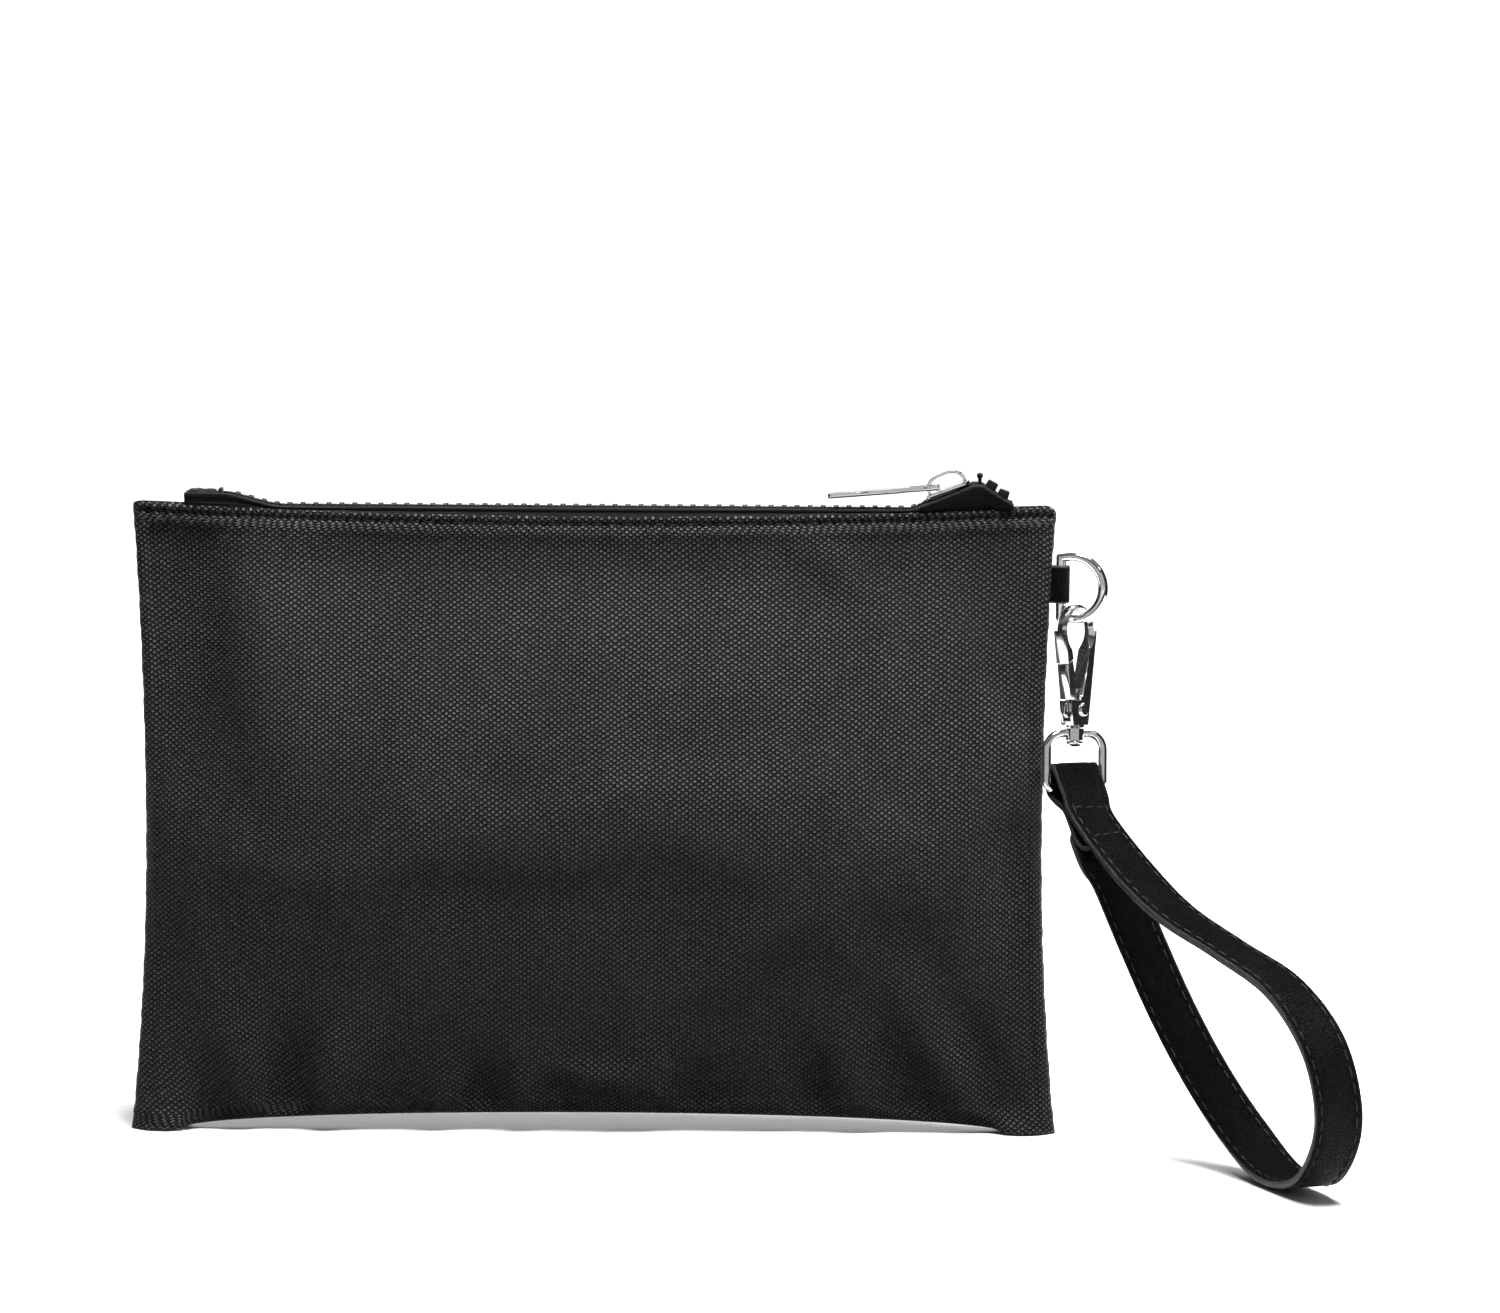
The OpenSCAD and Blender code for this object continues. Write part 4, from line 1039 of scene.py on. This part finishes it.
# The loop's stations from the fold's centre, and which way the strap's width points at each
LOOP = [
    (14, -32.5, -18.5), (24.4, -46.5, -27.5), (37.4, -59.5, -34.5), (50.9, -72, -42.5),
    (60.4, -82, -56.5), (63.9, -84, -75.5), (59.9, -74.5, -91.5), (52.4, -57.5, -94.7),
    (43.9, -41.5, -87), (34.4, -30.5, -73.5), (25.4, -25, -57), (17.4, -21.5, -39.5),
    (10, -20.5, -22.5),
]
LOOP_WIDTHS = [
    (0.87, 0.5, 0.11), (0.78, 0.62, 0.11), (0.71, 0.69, 0.09), (0.76, 0.61, 0.17),
    (0.93, 0.35, 0.21), (1, 0.2, 0), (0.93, 0.33, -0.07), (0.93, 0.34, 0.15),
    (0.9, 0.14, 0.5), (0.87, 0.02, 0.53), (0.89, -0.04, 0.46), (0.89, -0.05, 0.4),
    (0.93, 0.1, 0.25),
]
FOLD_WIDTH = turned((1, 0, 0), STRAP_TURN, "Z")
TAIL = [
    fold_point(27, FRONT_N - LAYER_STEP), fold_point(18, FRONT_N - LAYER_STEP),
    fold_point(11.5, FRONT_N - 1.3 * LAYER_STEP), fold_point(5.5, -1.5), fold_arc(-80),
    fold_arc(-35), fold_arc(10), fold_arc(55), fold_arc(88),
]
ENDS = [fold_point(27, FRONT_N - 2 * LAYER_STEP), fold_point(19, FRONT_N - 2 * LAYER_STEP)]
LEAVING = [fold_point(9, FRONT_N), fold_point(18, FRONT_N)]
LEAVING_WIDTHS = [FOLD_WIDTH, unit((0.93, 0.38, -0.03))]
STRAP = np.array(TAIL + LEAVING + [FOLD + p for p in LOOP] + ENDS)
WIDTHS = np.array([FOLD_WIDTH] * len(TAIL) + LEAVING_WIDTHS + LOOP_WIDTHS + [FOLD_WIDTH] * len(ENDS))
SPAN = 14


def smooth(p):
    """A smooth line through every point of p, with SPAN points to a span."""
    tangents = np.gradient(p, axis=0)
    tangents[[0, -1]] *= 0.5
    return curve(p, tangents, np.arange((len(p) - 1) * SPAN + 1) / SPAN)


path = smooth(STRAP)
strap_t = unit(np.gradient(path, axis=0))
strap_w = smooth(WIDTHS)
strap_w = unit(strap_w - strap_t * np.sum(strap_t * strap_w, axis=1, keepdims=True))
strap_n = np.cross(strap_t, strap_w)
run = np.concatenate([[0], np.cumsum(np.linalg.norm(np.diff(path, axis=0), axis=1))])


def along_strap(s, a, n):
    """A point at a length along the strap, a across it and n out of it."""
    at = [np.interp(s, run, path[:, k]) for k in range(3)]
    w = unit([np.interp(s, run, strap_w[:, k]) for k in range(3)])
    o = unit([np.interp(s, run, strap_n[:, k]) for k in range(3)])
    return np.array(at) + w * a + o * n, o


# Half width of the strap at each station: its two cut ends are rounded
CORNER_R = 3.0
END_SHARE = np.minimum(np.minimum(run, run[-1] - run), CORNER_R) / CORNER_R
HALF = (STRAP_W / 2 - CORNER_R * (1 - np.sqrt(1 - (1 - END_SHARE) ** 2)))[:, None]


def strap_rings(a, n, cloth, flip):
    """A closed form along the strap: a across it and n out of it, for each station's ring."""
    rings = path[:, None] + strap_w[:, None] * a[..., None] + strap_n[:, None] * n[..., None]
    cloth = np.stack(np.broadcast_arrays(*cloth), axis=2).reshape(-1, 3)
    return *skin(rings, flip), np.concatenate([cloth, cloth[:1], cloth[-1:]])


def strap_layer(name, node, low, high, material, dome):
    """One leather layer, slightly domed between its stitch rows and rounded at its edges."""
    steps, edge_in = np.linspace(-1, 1, 17), 0.28
    row_in, row_half, row_deep = 1.45, 0.35, 0.14
    a = steps * (HALF - edge_in)
    bulge = dome * (1 - steps ** 4) - row_deep * lump(np.abs(a) - HALF + edge_in, -row_in, row_half)
    face, base = high + bulge * (high > 0), low - bulge * (low < 0)
    a = np.concatenate([a, a[:, ::-1]], axis=1)
    n = np.concatenate([face, base[:, ::-1]], axis=1)
    points, faces, cloth = strap_rings(a, n, (a, run[:, None], 0.0), flip=True)
    make(name, points, faces, material, "strap", (node,), cloth, sharp=60)


strap_layer("strap_outer_leather", "strap_outer", 0.01, LAYER_T - 0.05, leather, 0.1)
strap_layer("strap_inner_leather", "strap_lining", 0.05 - LAYER_T, -0.01, inner_leather, 0.08)


def painted_edges():
    """Edge paint over both layers, as a rounded bead down each side with a faint line between them."""
    batch = Batch()
    bead_x, bead_z = 0.42, 0.97
    turn = 2 * PI * np.arange(12) / 12
    groove = 1 - 0.1 * lump(np.sin(turn), 0, 0.3) * (np.cos(turn) > 0)
    for side in (-1, 1):
        a = side * (HALF - bead_x + bead_x * np.cos(turn) * groove)
        n = bead_z * np.sin(turn) + 0 * a
        batch.add(*strap_rings(a, n, (run[:, None], 2 * turn, float(side)), flip=side > 0))
    batch.piece("strap_painted_edges", edge_paint, "strap", "leather", sharp=70)


painted_edges()


def strap_stitches():
    """Both rows of stitches on both faces, and two rows across that join the three layers."""
    batch = Batch()
    first = run[(len(TAIL) + 1) * SPAN] - 5
    inset = STRAP_W / 2 - 1.7
    count = int((run[-1] - 1.5 - first) // STITCH)
    for face in (1, -1):
        out = face * (LAYER_T - 0.02)
        for side in (-inset, inset):
            for k in range(count):
                s = first + (k + (0.5 if face < 0 else 0)) * STITCH
                a, normal = along_strap(s + 0.55, side, out)
                b, _ = along_strap(s + STITCH - 0.55, side, out)
                stitch(batch, a, b, 0.3, normal * face, 0.2)
    for s in (first + 1.5, first + 12.5):
        for k in range(3):
            a, normal = along_strap(s, lerp(-inset, inset, k / 3) + 0.4, LAYER_T)
            b, _ = along_strap(s, lerp(-inset, inset, (k + 1) / 3) - 0.4, LAYER_T)
            stitch(batch, a, b, 0.3, normal, 0.2)
    batch.piece("strap_stitches", thread, "strap", "thread", ("strap_thread",))


strap_stitches()


# ---------- room, lights and camera ----------

# How bright the sky is: the axis it changes along, from where to where, and its strength at both
SKY = [("Y", -0.4, 0.5, 0.01, 0.3), ("Z", 0.3, 0.85, 0.0, 0.2)]
# A dark cloth lies on the floor in front, out of the camera's sight, to keep the floor's light off the
# object. Diffuse light sees all of it and reflections see its near part only.
VELVET_EDGE, VELVET_NEAR, VELVET_FAR = 0.03, -0.24, -0.8
# Dark cards at these bearings draw the chrome's edges, and one lies over the object. Only reflections
# see them. An upright card's size is its low and high edges, its width and its distance
FLAGS, FLAG_SIZE = (*range(68, 157, 22), *range(204, 293, 22)), (0.005, 0.45, 0.215, 0.55)
HIGH_FLAG = (-0.4, 0.6), (-0.26, 0.1), 0.75
# Soft cards in front of the object light the middle of its chrome
GLOWS, GLOW_SIZE, GLOW = range(-44, 45, 22), (0.01, 0.55, 0.36, 1.05), 0.5
# A pale wall closes the room all round, which only the camera sees
WALLS, WALL_SIZE, WALL = range(0, 360, 15), (-0.05, 3.0, 0.65, 2.4), 1.0
LAMPS = [
    ("key", (0.3, -0.3, 1.25), (0.0, 0.0, 0.15), (0.8, 0.3), 48.0),
    ("fill", (1.4, -0.6, 0.75), (0.05, 0.0, 0.1), (0.7, 0.9), 7.5),
    ("side", (-1.2, -0.9, 0.6), (-0.05, 0.0, 0.1), (0.3, 0.9), 0.6),
    ("top", (0.0, 0.8, 1.9), (0.0, 0.6, 0.0), (2.4, 1.4), 56.0),
]


def sky(tree):
    """Soft light from above and behind, and a darker room in front of the object."""
    link, new = tree.links.new, tree.nodes.new
    place, parts, total = new("ShaderNodeTexCoord"), new("ShaderNodeSeparateXYZ"), new("ShaderNodeMath")
    link(place.outputs["Generated"], parts.inputs[0])
    for k, (axis, *values) in enumerate(SKY):
        ramp = new("ShaderNodeMapRange")
        ramp.interpolation_type = "SMOOTHSTEP"
        for socket, value in zip(ramp.inputs[1:5], values):
            socket.default_value = value
        link(parts.outputs[axis], ramp.inputs[0])
        link(ramp.outputs[0], total.inputs[k])
    background = tree.nodes["Background"]
    background.inputs[0].default_value = (1, 1, 1, 1)
    link(total.outputs[0], background.inputs[1])


def staged(name, points, faces, material):
    """A part of the studio, from points in metres."""
    holder = placed(name, mesh_from(name, points, faces))
    holder.data.materials.append(material)
    return holder


def level(xs, ys, z):
    """The corners of a level card."""
    return [(xs[0], ys[0], z), (xs[1], ys[0], z), (xs[1], ys[1], z), (xs[0], ys[1], z)]


def upright(bearing, low, high, wide, far):
    """The corners of an upright card that faces the object: a bearing of 0 is straight in front."""
    a = math.radians(bearing)
    middle = Vector((far * math.sin(a), -far * math.cos(a), 0))
    side = Vector((math.cos(a), math.sin(a), 0)) * wide / 2
    corners = [middle - side, middle + side, middle + side, middle - side]
    return [(c.x, c.y, z) for c, z in zip(corners, (low, low, high, high))]


def glow_card(name, points, strength, seen_by):
    """An evenly bright card, which only one kind of ray sees: the camera's or reflections."""
    glow = Finish(name + "_glow", Emission_Color=(1, 1, 1, 1), Emission_Strength=strength)
    shade = glow.colours(glow.noise(glow.object(2.0), 1.0), (0, 0, 0), (0.01, 0.01, 0.01))
    card = staged(name, points, [(3, 2, 1, 0)], glow.done(shade))
    card.visible_shadow = card.visible_diffuse = card.visible_transmission = False
    card.visible_camera, card.visible_glossy = seen_by == "camera", seen_by == "reflections"


def paper_sweep():
    """The pale floor, which curves up into a backdrop far behind the object."""
    near, bend, half, radius, top = -2.5, 1.7, 4.0, 1.0, 3.2
    rise = [(y, 0.0) for y in np.linspace(near, bend, 25)]
    for a in np.linspace(0, PI / 2, 13)[1:]:
        rise.append((bend + radius * math.sin(a), radius * (1 - math.cos(a))))
    rise.append((bend + radius, top))
    points = [(x, y, z) for y, z in rise for x in (-half, half)]
    faces = [(2 * i, 2 * i + 1, 2 * i + 3, 2 * i + 2) for i in range(len(rise) - 1)]
    paper = Finish("studio_paper", Specular_IOR_Level=0.2)
    tone = paper.noise(paper.object(3.0), 1.0, 2.0)
    colour = paper.colours(tone, (0.93, 0.93, 0.93), (0.96, 0.96, 0.96))
    floor = staged("studio_floor", points, faces, paper.done(colour, 0.8))
    floor.data.shade_smooth()


def dark_cards():
    """The dark cloth, seen by diffuse light, and the dark cards that only reflections see."""
    flag = Finish("studio_flag", Specular_IOR_Level=0.1)
    shade = flag.colours(flag.noise(flag.object(4.0), 1.0), (0.006, 0.006, 0.006), (0.01, 0.01, 0.01))
    black = flag.done(shade, 0.9)
    cards = [level((-3, 3), ys, 0.001) for ys in ((-2.4, VELVET_EDGE), (VELVET_FAR, VELVET_NEAR))]
    cards += [upright(bearing, *FLAG_SIZE) for bearing in FLAGS]
    cards.append(level(*HIGH_FLAG))
    for k, points in enumerate(cards):
        card = staged(f"flag_{k}", points, [(0, 1, 2, 3)], black)
        card.visible_camera = card.visible_shadow = False
        card.visible_diffuse, card.visible_glossy = k == 0, k > 0


def studio():
    scene = bpy.context.scene
    scene.view_settings.view_transform = "Standard"
    paper_sweep()
    dark_cards()
    for k, bearing in enumerate(GLOWS):
        glow_card(f"front_card_{k}", upright(bearing, *GLOW_SIZE), GLOW, "reflections")
    for k, bearing in enumerate(WALLS):
        glow_card(f"room_wall_{k}", upright(bearing, *WALL_SIZE), WALL, "camera")
    world = bpy.data.worlds.new("studio")
    world.use_nodes = True
    sky(world.node_tree)
    scene.world = world
    for name, place, aim, size, power in LAMPS:
        lamp = bpy.data.lights.new(name, "AREA")
        lamp.shape, lamp.size, lamp.size_y, lamp.energy = "RECTANGLE", *size, power
        holder = placed(name, lamp)
        holder.location = place
        holder.rotation_euler = (Vector(aim) - Vector(place)).to_track_quat("-Z", "Y").to_euler()


def camera():
    """The photo's viewpoint: a long lens, a little above the pouch, and rolled by a third of a degree."""
    aim, distance = Vector((0.042, 0.0, 0.1306)), 1.45
    lift, roll = math.radians(7.5), math.radians(0.33)
    lens = bpy.data.cameras.new("camera")
    lens.lens, lens.sensor_width, lens.sensor_fit = 129.0, 36.0, "HORIZONTAL"
    holder = placed("camera", lens)
    holder.location = aim + Vector((0, -distance * math.cos(lift), distance * math.sin(lift)))
    look = (aim - holder.location).to_track_quat("-Z", "Y").to_matrix().to_4x4()
    holder.matrix_world = Matrix.Translation(holder.location) @ look @ Matrix.Rotation(roll, 4, "Z")
    bpy.context.scene.camera = holder


studio()
camera()
